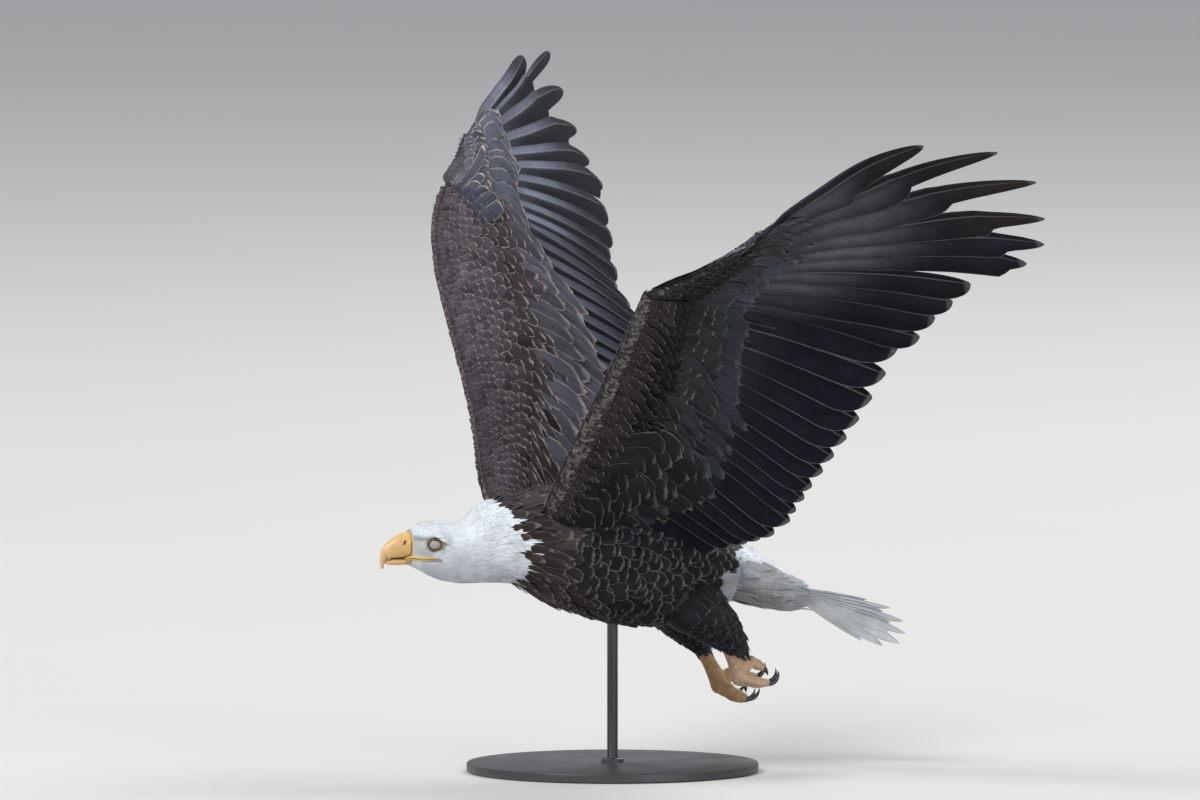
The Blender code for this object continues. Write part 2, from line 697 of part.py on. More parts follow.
def build_alula(wing, side, place):
    """Small thumb wing lying along the leading edge of the hand."""
    points, radii = [], []
    for i in range(6):
        share = i / 5
        q = lerp(7.6, 3.4, share)
        clear = wing.flesh(q, 0.03)[1]
        lead = wing.lead(q)
        points.append(wing.out(lead - wing.hand_back * 0.0046 + wing.hand_up * clear * 0.6))
        radii.append(lerp(0.0038, 0.0022, share))
    shape = tube(points, radii, 8, flatten=0.8)
    add_object("alula_" + side, shape, "wing_plumage", place)


# ---------------------------------------------------------------- legs
def build_leg(side, leg, place, clearance):
    keys = ("hip", "knee", "cuff", "ankle", "palm")
    hip, knee, cuff, ankle, palm = (Vector(leg[key]) for key in keys)
    shin = (palm - ankle).normalized()
    end = cuff + shin * 0.004
    points = [hip, hip.lerp(knee, 0.55), knee, knee.lerp(cuff, 0.45), cuff - shin * 0.002, end]
    wide, narrow = leg["hip_radius"], leg["cuff_radius"]
    radii = (wide * 0.95, wide, wide * 0.86, lerp(wide, narrow, 0.55), narrow, narrow * 0.86)
    thigh = add_object("thigh_" + side, tube(points, radii, 14, flatten=0.95), "dark_plumage",
                       place)
    cut(thigh, clearance)
    start = ankle + shin * ((end - ankle).dot(shin) + 2 * GAP)
    points = [start, start.lerp(palm, 0.45), start.lerp(palm, 0.8), palm + shin * 0.004,
              palm + shin * 0.011]
    radii = (0.0098, 0.0092, 0.0112, 0.0135, 0.0085)
    add_object("tarsus_" + side, tube(points, radii, 10), "foot_skin", place)
    grown = tube(points, tuple(radius + GAP for radius in radii), 10)
    cutter = add_object("tarsus_clearance_" + side, grown, "foot_skin", place)
    make_cutter(cutter)
    ahead, curl = Vector(leg["toes"]).normalized(), Vector(leg["curl"]).normalized()
    across = ahead.cross(curl).normalized()
    if across.y * (1 if side == "left" else -1) < 0:
        across = -across
    for name, sizes in TOES.items():
        build_toe(name + "_" + side, palm, (ahead, curl, across), sizes, place, cutter)


def build_toe(name, palm, axes, sizes, place, cutter):
    """Toe with a swelling at each joint, and its hooked talon as a separate horn."""
    ahead, curl, across = axes
    way = (ahead + across * sizes["spread"]).normalized()
    base = palm + across * sizes["offset"] + curl * sizes["raised"] + ahead * 0.001
    length, radius = sizes["length"], sizes["radius"]
    points = [base + way * length * s + curl * sizes["bend"] * length * s * s
              for s in (0.0, 0.22, 0.42, 0.62, 0.82, 1.0)]
    radii = [radius * k for k in (1.0, 1.12, 0.94, 1.04, 0.92, 0.74)]
    toe = add_object("toe_" + name, tube(points, radii, 8, up=across), "foot_skin", place)
    cut(toe, cutter)
    last = (points[-1] - points[-2]).normalized()
    hook = (curl - last * curl.dot(last)).normalized() * math.copysign(1.0, sizes["turn"])
    start = points[-1] + last * 2 * GAP
    size = sizes["talon"]
    arc = [start + last * (0.001 + size * math.sin(a)) + hook * size * (1 - math.cos(a))
           for a in (math.radians(abs(sizes["turn"]) * k / 4) for k in range(5))]
    claw = tube([start] + arc, (0.0040, 0.0040, 0.0037, 0.0030, 0.0020, 0.0006), 8, up=across)
    add_object("talon_" + name, claw, "talon_horn", place)


# ---------------------------------------------------------------- stand
def build_stand(clearance):
    """Round plate with an eased edge, and one rod up to the belly."""
    shape = bmesh.new()
    bmesh.ops.create_cone(shape, cap_ends=True, segments=40, radius1=STAND_RADIUS,
                          radius2=STAND_RADIUS, depth=STAND_THICK,
                          matrix=Matrix.Translation((0, 0, STAND_THICK / 2)))
    base = add_object("stand_base", shape, "stand_metal")
    bevel = base.modifiers.new("eased_edge", "BEVEL")
    bevel.width = STAND_EDGE
    bevel.segments = 1
    bevel.limit_method = "ANGLE"
    foot = STAND_THICK + GAP
    top = BODY_AT[2] - ROD_REACH
    shape = bmesh.new()
    bmesh.ops.create_cone(shape, cap_ends=True, segments=24, radius1=ROD_RADIUS,
                          radius2=ROD_RADIUS, depth=top - foot,
                          matrix=Matrix.Translation((0, 0, (top + foot) / 2)))
    rod = add_object("stand_rod", shape, "stand_metal")
    cut(rod, clearance)


def main():
    clear_scene()
    collection(PARTS)
    collection(CUTTERS)
    place = placement()
    build_torso(place)
    build_eyes(place)
    build_bill(place)
    build_rump(place)
    build_tail(place)
    clearance = trunk_cutter(place)
    build_wing("left", LEFT, 1.0, place, clearance)
    build_wing("right", RIGHT, -1.0, place, clearance)
    build_leg("left", LEG_LEFT, place, clearance)
    build_leg("right", LEG_RIGHT, place, clearance)
    build_stand(clearance)


main()
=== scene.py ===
"""Looks of a life-size bald eagle in flight on a plain display stand.

Laid out as an add-on and run as a script.  One skin stands in for the fleshy nodes, and
coats of modelled feathers lie over it.  Lengths are metres.  Shapes are worked out in the
body frame (x forward, y to the bird's left, z up) and then placed over the stand.
"""

import math

import bmesh
import bpy
import numpy as np
from bpy.props import FloatProperty, FloatVectorProperty, IntProperty, PointerProperty
from bpy.types import Operator, Panel, PropertyGroup
from mathutils import Matrix, Vector


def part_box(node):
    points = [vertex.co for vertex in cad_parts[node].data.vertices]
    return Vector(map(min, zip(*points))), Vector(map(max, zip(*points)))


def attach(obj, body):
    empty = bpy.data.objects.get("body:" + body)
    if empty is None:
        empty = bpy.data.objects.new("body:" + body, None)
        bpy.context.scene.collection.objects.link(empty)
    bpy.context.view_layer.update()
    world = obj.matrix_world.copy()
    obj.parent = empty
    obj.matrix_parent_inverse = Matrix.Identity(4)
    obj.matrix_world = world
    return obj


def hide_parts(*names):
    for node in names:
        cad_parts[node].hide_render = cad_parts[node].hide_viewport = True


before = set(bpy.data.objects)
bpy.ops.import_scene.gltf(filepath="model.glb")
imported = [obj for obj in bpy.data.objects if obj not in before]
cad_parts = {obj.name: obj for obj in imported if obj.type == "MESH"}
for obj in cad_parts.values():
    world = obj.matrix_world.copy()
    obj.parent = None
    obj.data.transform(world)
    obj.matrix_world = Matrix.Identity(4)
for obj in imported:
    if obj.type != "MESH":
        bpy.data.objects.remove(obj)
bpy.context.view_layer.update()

bl_info = {
    "name": "Bald eagle looks",
    "version": (1, 0, 0),
    "blender": (4, 5, 0),
    "location": "3D View > Sidebar > Eagle",
    "description": "Skin, feathers, bill, eyes, feet and stand of a bald eagle in flight",
    "category": "Object",
}

BODY = "root"

# ------------------------------------------------------------------ the frame's own sizes
# (angles in degrees; pairs of feathers, wings and legs differ as the pose asks)
BODY_AT = (0.0, 0.0, 0.288)
BANK = 7.0

# x, crown height, keel height, half width, height of the widest level
TORSO = (
    (0.2905, 0.0355, -0.0098, 0.0150, 0.0120),
    (0.2840, 0.0408, -0.0128, 0.0205, 0.0130),
    (0.2740, 0.0455, -0.0180, 0.0270, 0.0130),
    (0.2600, 0.0478, -0.0258, 0.0312, 0.0110),
    (0.2450, 0.0478, -0.0318, 0.0345, 0.0080),
    (0.2300, 0.0460, -0.0352, 0.0375, 0.0060),
    (0.2160, 0.0445, -0.0370, 0.0400, 0.0050),
    (0.2000, 0.0545, -0.0370, 0.0450, 0.0080),
    (0.1820, 0.0695, -0.0372, 0.0530, 0.0130),
    (0.1600, 0.0765, -0.0380, 0.0620, 0.0170),
    (0.1370, 0.0805, -0.0420, 0.0710, 0.0180),
    (0.1135, 0.0845, -0.0545, 0.0790, 0.0150),
    (0.0840, 0.0880, -0.0705, 0.0850, 0.0100),
    (0.0500, 0.0870, -0.0820, 0.0880, 0.0040),
    (0.0000, 0.0820, -0.0965, 0.0890, -0.0060),
    (-0.0450, 0.0700, -0.1010, 0.0860, -0.0160),
    (-0.0900, 0.0520, -0.0980, 0.0790, -0.0240),
    (-0.1250, 0.0340, -0.0880, 0.0680, -0.0270),
    (-0.1560, 0.0140, -0.0740, 0.0560, -0.0290),
)
TRUNK_BACK = -0.150
HEAD_BACK = 0.212
BROW_X, BROW_ANGLE, BROW_RISE, LORE_SINK = 0.2690, 38.0, 0.0026, 0.0022

EYE_AT, EYE_AXIS, EYE_RADIUS = (0.2635, 0.0232, 0.0215), (0.33, 0.94, 0.06), 0.0115

TAIL_BASE = (-0.180, 0.0, -0.034)
TAIL_YAW, TAIL_DROP, TAIL_TWIST, TAIL_FAN = 25.0, 15.5, 40.0, 15.0
TAIL_LENGTH, TAIL_SHORTEN, TAIL_FEATHERS, TAIL_ROOT_HALF = 0.236, 0.052, 12, 0.017
TAIL_EDGE_RISE, TAIL_TIP_SAG = 0.011, 0.015
# distance behind the tail's base, half width, thickness above and below the tail's plane
RUMP = (
    (-0.002, 0.0500, 0.0390, 0.0400),
    (0.022, 0.0470, 0.0350, 0.0380),
    (0.045, 0.0450, 0.0290, 0.0350),
    (0.068, 0.0440, 0.0210, 0.0320),
    (0.088, 0.0430, 0.0130, 0.0240),
    (0.102, 0.0400, 0.0050, 0.0080),
)
TAIL_COVER = ((0.125, 0.044, 0.0045, 0.0060), (0.150, 0.049, 0.0035, 0.0045),
              (0.175, 0.054, 0.0028, 0.0032))

SHOULDER = (0.105, 0.062, 0.045)
ARM, HUMERUS, ULNA, MANUS = 0.434, 0.215, 0.240, 0.170
SECONDARIES, SECONDARY_LENGTH, SECONDARY_STEP = 16, 0.324, 0.0060
SECONDARY_TAPER, INNERMOST_SHORTEN, WRIST_TURN = 0.0004, 10, 7.0
# rise and sweep of arm and hand, the hand's twist, the elbow's drop, drop and turn of the middle
# and inner secondaries, angle off the hand and length of each primary, the leading edge's root
# at the body and how far it bulges forward
LEFT = dict(
    arm=(53.8, -0.8), hand=(30.7, -19.2, 17.7), elbow=25.3,
    middle=(40.5, -18.6), inner=(26.7, -14.0),
    angles=(59.5, 52.6, 47.8, 42.6, 37.6, 32.6, 26.4, 16.0, 6.1, -3.9),
    lengths=(0.343, 0.345, 0.354, 0.366, 0.431, 0.449, 0.454, 0.468, 0.452, 0.374),
    lead_root=(0.124, 0.066, 0.078), bulge=-0.004,
)
RIGHT = dict(
    arm=(60.5, 2.8), hand=(16.9, -25.9, 34.8), elbow=23.3,
    middle=(26.9, -16.5), inner=(23.8, -12.0),
    angles=(54.0, 50.6, 45.2, 40.2, 35.6, 30.8, 25.0, 18.4, 13.2, 11.0),
    lengths=(0.343, 0.340, 0.360, 0.376, 0.401, 0.398, 0.416, 0.455, 0.497, 0.392),
    lead_root=(0.158, 0.066, 0.068), bulge=0.027,
)
# where each primary narrows and where the gap beside it ends, as shares of its length
NOTCH = {10: 0.58, 9: 0.56, 8: 0.64, 7: 0.74, 6: 0.84, 5: 0.89}
GAP_END = {9.5: 0.52, 8.5: 0.62, 7.5: 0.69, 6.5: 0.83, 5.5: 0.88, 4.5: 0.94}
FINGER_HALF, VANE_TILT, FEATHER_BOW = 0.0205, 0.12, 0.045

LEG_LEFT = dict(hip=(-0.070, 0.046, -0.048), knee=(-0.112, 0.052, -0.076),
                cuff=(-0.161, 0.048, -0.121), ankle=(-0.1536, 0.046, -0.128),
                palm=(-0.1725, 0.043, -0.1635), hip_radius=0.044, cuff_radius=0.019,
                toes=(-0.92, 0.03, -0.40), curl=(-0.40, 0.0, 0.92))
LEG_RIGHT = dict(hip=(-0.070, -0.046, -0.050), knee=(-0.112, -0.044, -0.090),
                 cuff=(-0.154, -0.040, -0.143), ankle=(-0.1575, -0.040, -0.1500),
                 palm=(-0.1815, -0.038, -0.1905), hip_radius=0.042, cuff_radius=0.0135,
                 toes=(-0.74, 0.05, -0.67), curl=(-0.67, 0.0, 0.74))
TOES = {
    "inner": dict(offset=-0.0145, spread=-0.28, raised=0.0, length=0.030, radius=0.0070,
                  bend=0.20, talon=0.0135, turn=115.0),
    "middle": dict(offset=0.0, spread=0.0, raised=-0.004, length=0.036, radius=0.0070,
                   bend=0.24, talon=0.0135, turn=115.0),
    "outer": dict(offset=0.0145, spread=0.26, raised=0.0, length=0.030, radius=0.0062,
                  bend=0.20, talon=0.0120, turn=115.0),
    "hind": dict(offset=0.0, spread=0.0, raised=0.0225, length=0.022, radius=0.0070,
                 bend=-0.05, talon=0.0170, turn=-48.0),
}
BILL_BASE = 0.2920
# reach and height of the crest, reach and height of the lower edge, half width
BILL = (
    (0.0000, 0.0340, 0.0000, 0.0006, 0.0130),
    (0.0100, 0.0312, 0.0100, 0.0002, 0.0118),
    (0.0185, 0.0272, 0.0185, -0.0002, 0.0102),
    (0.0265, 0.0215, 0.0225, -0.0006, 0.0085),
    (0.0330, 0.0148, 0.0275, -0.0040, 0.0065),
    (0.0370, 0.0070, 0.0257, 0.0020, 0.0045),
    (0.0376, -0.0040, 0.0304, -0.0043, 0.0027),
    (0.0352, -0.0145, 0.0318, -0.0133, 0.0012),
)
# reach, top, bottom, half width
LOWER_BILL = (
    (0.0000, -0.0014, -0.0090, 0.0115),
    (0.0110, -0.0018, -0.0093, 0.0100),
    (0.0205, -0.0025, -0.0093, 0.0078),
    (0.0265, -0.0046, -0.0086, 0.0050),
    (0.0294, -0.0070, -0.0080, 0.0026),
)
CERE_X, CERE_Z, CERE_SLANT = 0.3035, 0.012, 0.10
NOSTRIL = (0.3000, 0.0214)
MOUTH_FRONT, MOUTH_BACK = 0.3000, 0.2606

SIDES = (("left", 1.0, LEFT, LEG_LEFT), ("right", -1.0, RIGHT, LEG_RIGHT))
FLESH = ["head", "neck", "trunk", "rump"] + [
    "%s_%s" % (part, side) for part in ("wing_arm", "wing_hand", "thigh", "tarsus",
                                        *("toe_" + name for name in TOES))
    for side in ("left", "right")]

# ------------------------------------------------------------------ sizes of the coat
BAKE_PATCH = 0.003      # width of a feather's patch on the skin's unwrap
SKIN_VOXEL = 0.0030
RING = 96               # points round the trunk's chart
CHART_STEP = 0.02       # rows of a wing chart, as a share of the chord under the coverts
CHART_END = 1.60
Q_START, Q_STEP, Q_END = -0.75, 0.25, 28.0      # feather places of the wing charts
NARROW = (-1.0, 0.0, 1.0)                       # columns of the smallest vanes
LONG_COLUMNS = (-1.0, -0.62, -0.28, -0.05, 0.0, 0.05, 0.30, 0.64, 1.0)
LONG_ROWS = 30

# ------------------------------------------------------------------ small touches of colour
# painted highlight: a soft bluish spot on the eye's membrane
PAINTED_EYE_HIGHLIGHT = (0.34, 0.37, 0.47)
LID_FRONT, LID_BACK = (0.30, 0.26, 0.20), (0.62, 0.35, 0.09)
# NOSTRIL_DARK is painted shade inside the nostril's slit
NOSTRIL_DARK, BILL_TIP = (0.02, 0.012, 0.008), (0.70, 0.52, 0.31)
MOUTH_LINE, LIP_LINE, SMUDGE = (0.075, 0.035, 0.012), (0.035, 0.02, 0.01), (0.16, 0.095, 0.045)
# BROW_SHADE is a painted shadow under the brow
LORE_GREY, BROW_SHADE = (0.36, 0.355, 0.345), (0.17, 0.165, 0.17)
FINGER_BROWN, CUFF_GREY = (0.020, 0.015, 0.013), (0.14, 0.13, 0.13)


# ------------------------------------------------------------------ sizes a user may change
def colour(name, text, value):
    return FloatVectorProperty(name=name, description=text, default=value, subtype="COLOR",
                               size=3, min=0.0, max=1.0)


def length(name, text, value):
    return FloatProperty(name=name, description=text, default=value, unit="LENGTH", min=0.0)


class EaglePlumage(PropertyGroup):
    """Colours of the feathers."""
    # white of the feathers, with a cool tint that is painted blue skylight
    white: colour("White", "Head, neck and tail", (0.635, 0.672, 0.718))
    # painted shade: the white darkened for the shaded undersides of throat, rump and tail
    white_shade: colour("White, shaded", "Throat and undertail", (0.420, 0.455, 0.515))
    mottle: colour("Mottle", "Brown mottling under the tail", (0.20, 0.17, 0.145))
    dark: colour("Dark", "Body feathers", (0.0148, 0.0140, 0.0176))
    dark_edge: colour("Dark edge", "Edges of the body feathers", (0.190, 0.172, 0.170))
    breast: colour("Breast", "Browner feathers below the collar", (0.046, 0.036, 0.031))
    upper: colour("Upper wing", "Coverts on the wing's upper side", (0.070, 0.059, 0.069))
    upper_edge: colour("Upper wing edge", "Edges of the upper coverts", (0.46, 0.395, 0.37))
    under: colour("Under wing", "Coverts on the wing's underside", (0.020, 0.0165, 0.0165))
    under_edge: colour("Under wing edge", "Edges of the under coverts", (0.270, 0.238, 0.228))
    fleck: colour("Flecks", "Pale tips along the leading edge", (0.36, 0.34, 0.345))
    flight: colour("Flight feathers", "Blue-black flight feathers", (0.0066, 0.0078, 0.0125))
    flight_edge: colour("Flight edge", "Thin edges of the flight feathers", (0.170, 0.168, 0.178))
    silver: colour("Silver", "Greyish bases of the primaries", (0.068, 0.067, 0.076))
    slate: colour("Slate", "Upper sides and greater coverts of the hand", (0.090, 0.098, 0.134))


class EagleSoftParts(PropertyGroup):
    """Colours of the bill, eyes and feet."""
    bill: colour("Bill", "Horn of the bill", (0.70, 0.44, 0.185))
    cere: colour("Cere", "Skin at the base of the bill", (0.74, 0.465, 0.155))
    gape: colour("Gape", "Fleshy corner of the mouth", (0.72, 0.47, 0.15))
    foot: colour("Foot", "Scaly skin of the feet", (0.56, 0.34, 0.165))
    foot_pink: colour("Near foot", "Pinker skin of the left shank", (0.66, 0.44, 0.29))
    lid: colour("Third eyelid", "Milky membrane drawn over the eye", (0.36, 0.30, 0.275))
    rim: colour("Eye rim", "Dark edge of the lids", (0.042, 0.026, 0.018))
    talon: colour("Talon", "Horn of the talons", (0.010, 0.010, 0.012))


class EagleSizes(PropertyGroup):
    """Depth of the coat and the smallest feathers."""
    head_coat: length("Head coat", "Depth of the coat on the head", 0.0030)
    neck_coat: length("Neck coat", "Depth of the coat on the neck", 0.0060)
    body_coat: length("Body coat", "Depth of the coat on the trunk", 0.0080)
    leg_coat: length("Leg coat", "Depth of the coat on the trousers", 0.0060)
    seed: IntProperty(name="Seed", description="Seed of the feathers' small differences",
                      default=7, min=0)


class EagleStage(PropertyGroup):
    """Camera and floor."""
    azimuth: FloatProperty(name="Azimuth", description="Turn of the camera about the bird",
                           default=math.radians(-24.0), subtype="ANGLE")
    elevation: FloatProperty(name="Elevation", description="Height angle of the camera",
                             default=math.radians(4.0), subtype="ANGLE")
    distance: length("Distance", "From the camera to the bird", 27.74)
    focal: FloatProperty(name="Focal length", description="Lens in millimetres",
                         default=640.0, min=20.0)
    floor: colour("Floor", "Plain floor", (0.66, 0.655, 0.64))


# ------------------------------------------------------------------ small helpers
def lerp(a, b, t):
    return a + (b - a) * t


def smooth(low, high, value):
    """Smooth step from 0 at low to 1 at high."""
    t = np.clip((value - low) / (high - low), 0.0, 1.0)
    return t * t * (3 - 2 * t)


def hump(value, middle, width, exponent=2):
    """1 at the middle, falling away smoothly on both sides."""
    return np.exp(-((value - middle) / width) ** exponent)


def unit(vectors):
    return vectors / np.maximum(np.linalg.norm(vectors, axis=-1, keepdims=True), 1e-12)


def power(value, exponent):
    return np.copysign(np.abs(value) ** exponent, value)


def rgb(value):
    return np.array(value[:], float)


def mixed(first, second, share):
    """Colours blended by a share for each point or feather."""
    return lerp(rgb(first), rgb(second), np.asarray(share)[..., None])


def pointing_out(rise, turn):
    """Unit vector to the left, raised and turned forward by angles in degrees."""
    rise, turn = math.radians(rise), math.radians(turn)
    return Vector((math.sin(turn), math.cos(turn) * math.cos(rise),
                   math.cos(turn) * math.sin(rise)))


def pointing_back(drop, turn):
    """Unit vector to the rear, lowered and turned to the left by angles in degrees."""
    drop, turn = math.radians(drop), math.radians(turn)
    return Vector((-math.cos(drop) * math.cos(turn), math.cos(drop) * math.sin(turn),
                   -math.sin(drop)))


def spline(table, keys):
    """Smooth reading of a table whose first column steps one way (Catmull-Rom)."""
    rows = np.array(table if table[0][0] < table[-1][0] else table[::-1])
    last = len(rows) - 1
    i = np.clip(np.searchsorted(rows[:, 0], keys, side="left") - 1, 0, last - 1)
    before, low = rows[np.maximum(i - 1, 0)], rows[i]
    high, after = rows[i + 1], rows[np.minimum(i + 2, last)]
    span = (high[..., 0] - low[..., 0])[..., None]
    t = np.clip((keys - low[..., 0])[..., None] / span, 0.0, 1.0)
    slope_low = (high - before)[..., 1:] / (high - before)[..., :1] * span
    slope_high = (after - low)[..., 1:] / (after - low)[..., :1] * span
    return ((2 * t**3 - 3 * t**2 + 1) * low[..., 1:] + (t**3 - 2 * t**2 + t) * slope_low
            + (3 * t**2 - 2 * t**3) * high[..., 1:] + (t**3 - t**2) * slope_high)


# body frame to world: turn to face -X, bank, and lift over the stand
PLACE = np.array(Matrix.Translation(BODY_AT) @ Matrix.Rotation(math.radians(BANK), 4, "X")
                 @ Matrix.Rotation(math.pi, 4, "Z"))


def to_world(points):
    return points @ PLACE[:3, :3].T + PLACE[:3, 3]


def finish_piece(mesh, material, slot, replaced=(), sharp=50.0):
    """Link a piece, ride it on the body and hide the nodes it stands for; its slot is not used."""
    mesh.materials.append(material)
    piece = bpy.data.objects.new(mesh.name, mesh)
    bpy.context.scene.collection.objects.link(piece)
    mesh.shade_smooth()
    if sharp:
        mesh.set_sharp_from_angle(angle=math.radians(sharp))
    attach(piece, BODY)
    if replaced:
        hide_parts(*replaced)


def painted_piece(mesh, places, colours, *finish, **options):
    """Colour a mesh, place its points in the world and finish it as a piece."""
    if colours.shape[-1] == 3:
        colours = np.concatenate([colours, np.ones((len(colours), 1))], axis=1)
    paint(mesh, colours)
    mesh.vertices.foreach_set("co", to_world(places).astype(np.float32).ravel())
    mesh.update()
    finish_piece(mesh, *finish, **options)


def paint(mesh, colours):
    """Give each vertex a colour, with a share of pale edge in its alpha."""
    layer = mesh.attributes.new("plumage", "FLOAT_COLOR", "POINT")
    layer.data.foreach_set("color", colours.astype(np.float32).ravel())


def grid_shape(points, capped=True):
    """A bmesh laid over rings of points, joined round and capped where asked."""
    rows, columns = points.shape[:2]
    shape = bmesh.new()
    bmesh.ops.create_grid(shape, x_segments=columns, y_segments=rows - 1, size=1.0)
    laid = np.concatenate([points, points[:, :1]], axis=1)
    for vert, place in zip(shape.verts, laid.reshape(-1, 3)):
        vert.co = place
    bmesh.ops.remove_doubles(shape, verts=shape.verts[:], dist=1e-7)
    if capped:
        edges = [edge for edge in shape.edges if edge.is_boundary]
        bmesh.ops.holes_fill(shape, edges=edges, sides=0)
    bmesh.ops.recalc_face_normals(shape, faces=shape.faces[:])
    return shape


def mesh_of(name, shape):
    mesh = bpy.data.meshes.new(name)
    shape.to_mesh(mesh)
    shape.free()
    return mesh


def joined_shape(parts):
    """One bmesh made of several closed ones."""
    joined = bmesh.new()
    for shape in parts:
        part = mesh_of("part", shape)
        joined.from_mesh(part)
        bpy.data.meshes.remove(part)
    return joined


def vertices_of(mesh):
    flat = np.empty(len(mesh.vertices) * 3, np.float32)
    mesh.vertices.foreach_get("co", flat)
    return flat.reshape(-1, 3).astype(float)


# ------------------------------------------------------------------ materials
class Nodes:
    """Short way to add and link shader nodes."""

    def __init__(self, name):
        self.material = bpy.data.materials.new(name)
        self.material.use_nodes = True
        self.tree = self.material.node_tree
        self.place = self.add("ShaderNodeTexCoord").outputs["Object"]

    def feed(self, node, inputs):
        for key, value in inputs.items():
            if isinstance(value, bpy.types.NodeSocket):
                self.tree.links.new(value, node.inputs[key])
            else:
                node.inputs[key].default_value = value

    def add(self, kind, inputs=None, **settings):
        node = self.tree.nodes.new(kind)
        for key, value in settings.items():
            setattr(node, key, value)
        self.feed(node, inputs or {})
        return node

    def maths(self, operation, first, second=0.0, third=0.5):
        return self.add("ShaderNodeMath", {0: first, 1: second, 2: third},
                        operation=operation).outputs[0]

    def times(self, first, second):
        return self.maths("MULTIPLY", first, second)

    def line(self, value, slope, start):
        return self.maths("MULTIPLY_ADD", value, slope, start)

    def ramp(self, value, low, high):
        """0 at low, 1 at high, smooth between."""
        return self.add("ShaderNodeMapRange", {0: value, 1: low, 2: high},
                        interpolation_type="SMOOTHSTEP").outputs[0]

    def mix(self, share, first, second):
        colours = {key: value if isinstance(value, bpy.types.NodeSocket) else (*value, 1.0)
                   for key, value in ((6, first), (7, second))}
        return self.add("ShaderNodeMix", {0: share, **colours}, data_type="RGBA").outputs[2]

    def noise(self, scale, detail=3.0, roughness=0.55, vector=None):
        return self.add("ShaderNodeTexNoise", {"Vector": vector or self.place, "Scale": scale,
                                               "Detail": detail, "Roughness": roughness}).outputs[0]

    def own(self, output="Color"):
        """The piece's painted colour, or the share of pale edge in its alpha."""
        return self.add("ShaderNodeAttribute", attribute_name="plumage").outputs[output]

    def shaded(self, value):
        """The piece's painted colour, made lighter or darker."""
        return self.add("ShaderNodeVectorMath", {0: self.own(), 3: value},
                        operation="SCALE").outputs[0]

    def finished(self, colour, roughness, bump=None, **values):
        """Feed the shader; bump is a height, a strength and a depth in metres."""
        inputs = {"Base Color": colour, "Roughness": roughness}
        if bump:
            keys = dict(zip(("Height", "Strength", "Distance"), bump))
            inputs["Normal"] = self.add("ShaderNodeBump", keys).outputs[0]
        inputs.update((key.replace("_", " "), value) for key, value in values.items())
        self.feed(self.tree.nodes["Principled BSDF"], inputs)
        return self.material


def feather_material(name, edge, roughness, barbs, rachis, sheen, edge_width=0.17,
                     specular=0.12, root_shade=0.35):
    """Vane with a shaft, slanting barbs and a paler rim, darker towards its root by painted shade;
    base colour comes with the feather.
    """
    made = Nodes(name)
    times, ramp = made.times, made.ramp
    vane = made.add("ShaderNodeUVMap", uv_map="vane").outputs[0]
    across, along, _ = made.add("ShaderNodeSeparateXYZ", {0: vane}).outputs
    off = made.maths("ABSOLUTE", made.line(across, 2.0, -1.0))
    side_rim = times(ramp(off, 1.0 - edge_width, 0.98), ramp(along, 0.25, 0.8))
    tip_rim = ramp(along, 1.0 - edge_width * 0.62, 0.985)
    worn = ramp(made.noise(260.0, 2.0), 0.12, 0.52)
    rim = times(times(made.maths("MAXIMUM", side_rim, tip_rim), made.own("Alpha")), worn)
    slant = made.maths("SUBTRACT", times(along, barbs), times(off, barbs * 0.16))
    phase = made.maths("ADD", slant, times(made.noise(90.0, 2.0), 9.0))
    comb = made.line(made.maths("SINE", times(phase, 2 * math.pi)), 0.5, 0.5)
    shaft = made.maths("SUBTRACT", 1.0, ramp(off, 0.02, 0.075))
    blotch = made.line(ramp(made.noise(38.0, 4.0), 0.30, 0.72), 0.30, 0.85)
    # painted shade: the vane darkens towards its root, where the feathers over it cover it
    root = made.line(ramp(along, 0.05, 0.55), root_shade, 1.0 - root_shade)
    tone = made.shaded(times(times(blotch, made.line(comb, 0.10, 1.0)), root))
    tone = made.mix(times(rim, 0.9), tone, edge)
    tone = made.mix(times(shaft, rachis[3]), tone, rachis[:3])
    height = made.maths("ADD", times(comb, 0.35), shaft)
    return made.finished(tone, roughness, (height, 0.30, 0.0004), Sheen_Weight=sheen,
                         Sheen_Roughness=0.45, Specular_IOR_Level=specular)


def skin_material(name, bump, scale=420.0, roughness=0.62, gloss=0.0, crease=0.25):
    """Bare or hidden skin, coloured by its own attribute, with a pebbled surface."""
    made = Nodes(name)
    cells = made.add("ShaderNodeTexVoronoi", {"Vector": made.place, "Scale": scale,
                                              "Randomness": 0.8}, feature="DISTANCE_TO_EDGE")
    pebble = made.ramp(cells.outputs[0], 0.0, 0.28)
    cloud = made.noise(70.0, 4.0)
    value = made.times(made.line(pebble, crease, 1.0 - crease), made.line(cloud, 0.5, 0.75))
    return made.finished(made.shaded(value), made.line(cloud, 0.25, roughness - 0.12),
                         (pebble, 0.6, bump), Specular_IOR_Level=0.4, Coat_Weight=gloss,
                         Coat_Roughness=0.25)


def horn_material(name, roughness, coat, subsurface=0.0):
    """Horn with faint lengthwise growth lines."""
    made = Nodes(name)
    stretched = made.add("ShaderNodeMapping", {0: made.place, 3: (0.25, 1.0, 1.0)}).outputs[0]
    lines = made.noise(190.0, 4.0, 0.6, stretched)
    cloud = made.noise(60.0, 3.0)
    value = made.times(made.line(lines, 0.22, 0.80), made.line(cloud, 0.3, 0.90))
    return made.finished(made.shaded(value), made.line(cloud, 0.18, roughness - 0.08),
                         (lines, 0.25, 0.0003), Coat_Weight=coat, Coat_Roughness=0.12,
                         Subsurface_Weight=subsurface, Subsurface_Scale=0.003)


def eye_material():
    """Milky third eyelid under a wet surface, with a dark rim."""
    made = Nodes("wet_membrane")
    veil = made.noise(420.0, 4.0)
    return made.finished(made.shaded(made.line(veil, 0.5, 0.75)), 0.34, (veil, 0.08, 0.0002),
                         Coat_Weight=0.45, Coat_Roughness=0.16, Subsurface_Weight=0.15,
                         Subsurface_Scale=0.002)


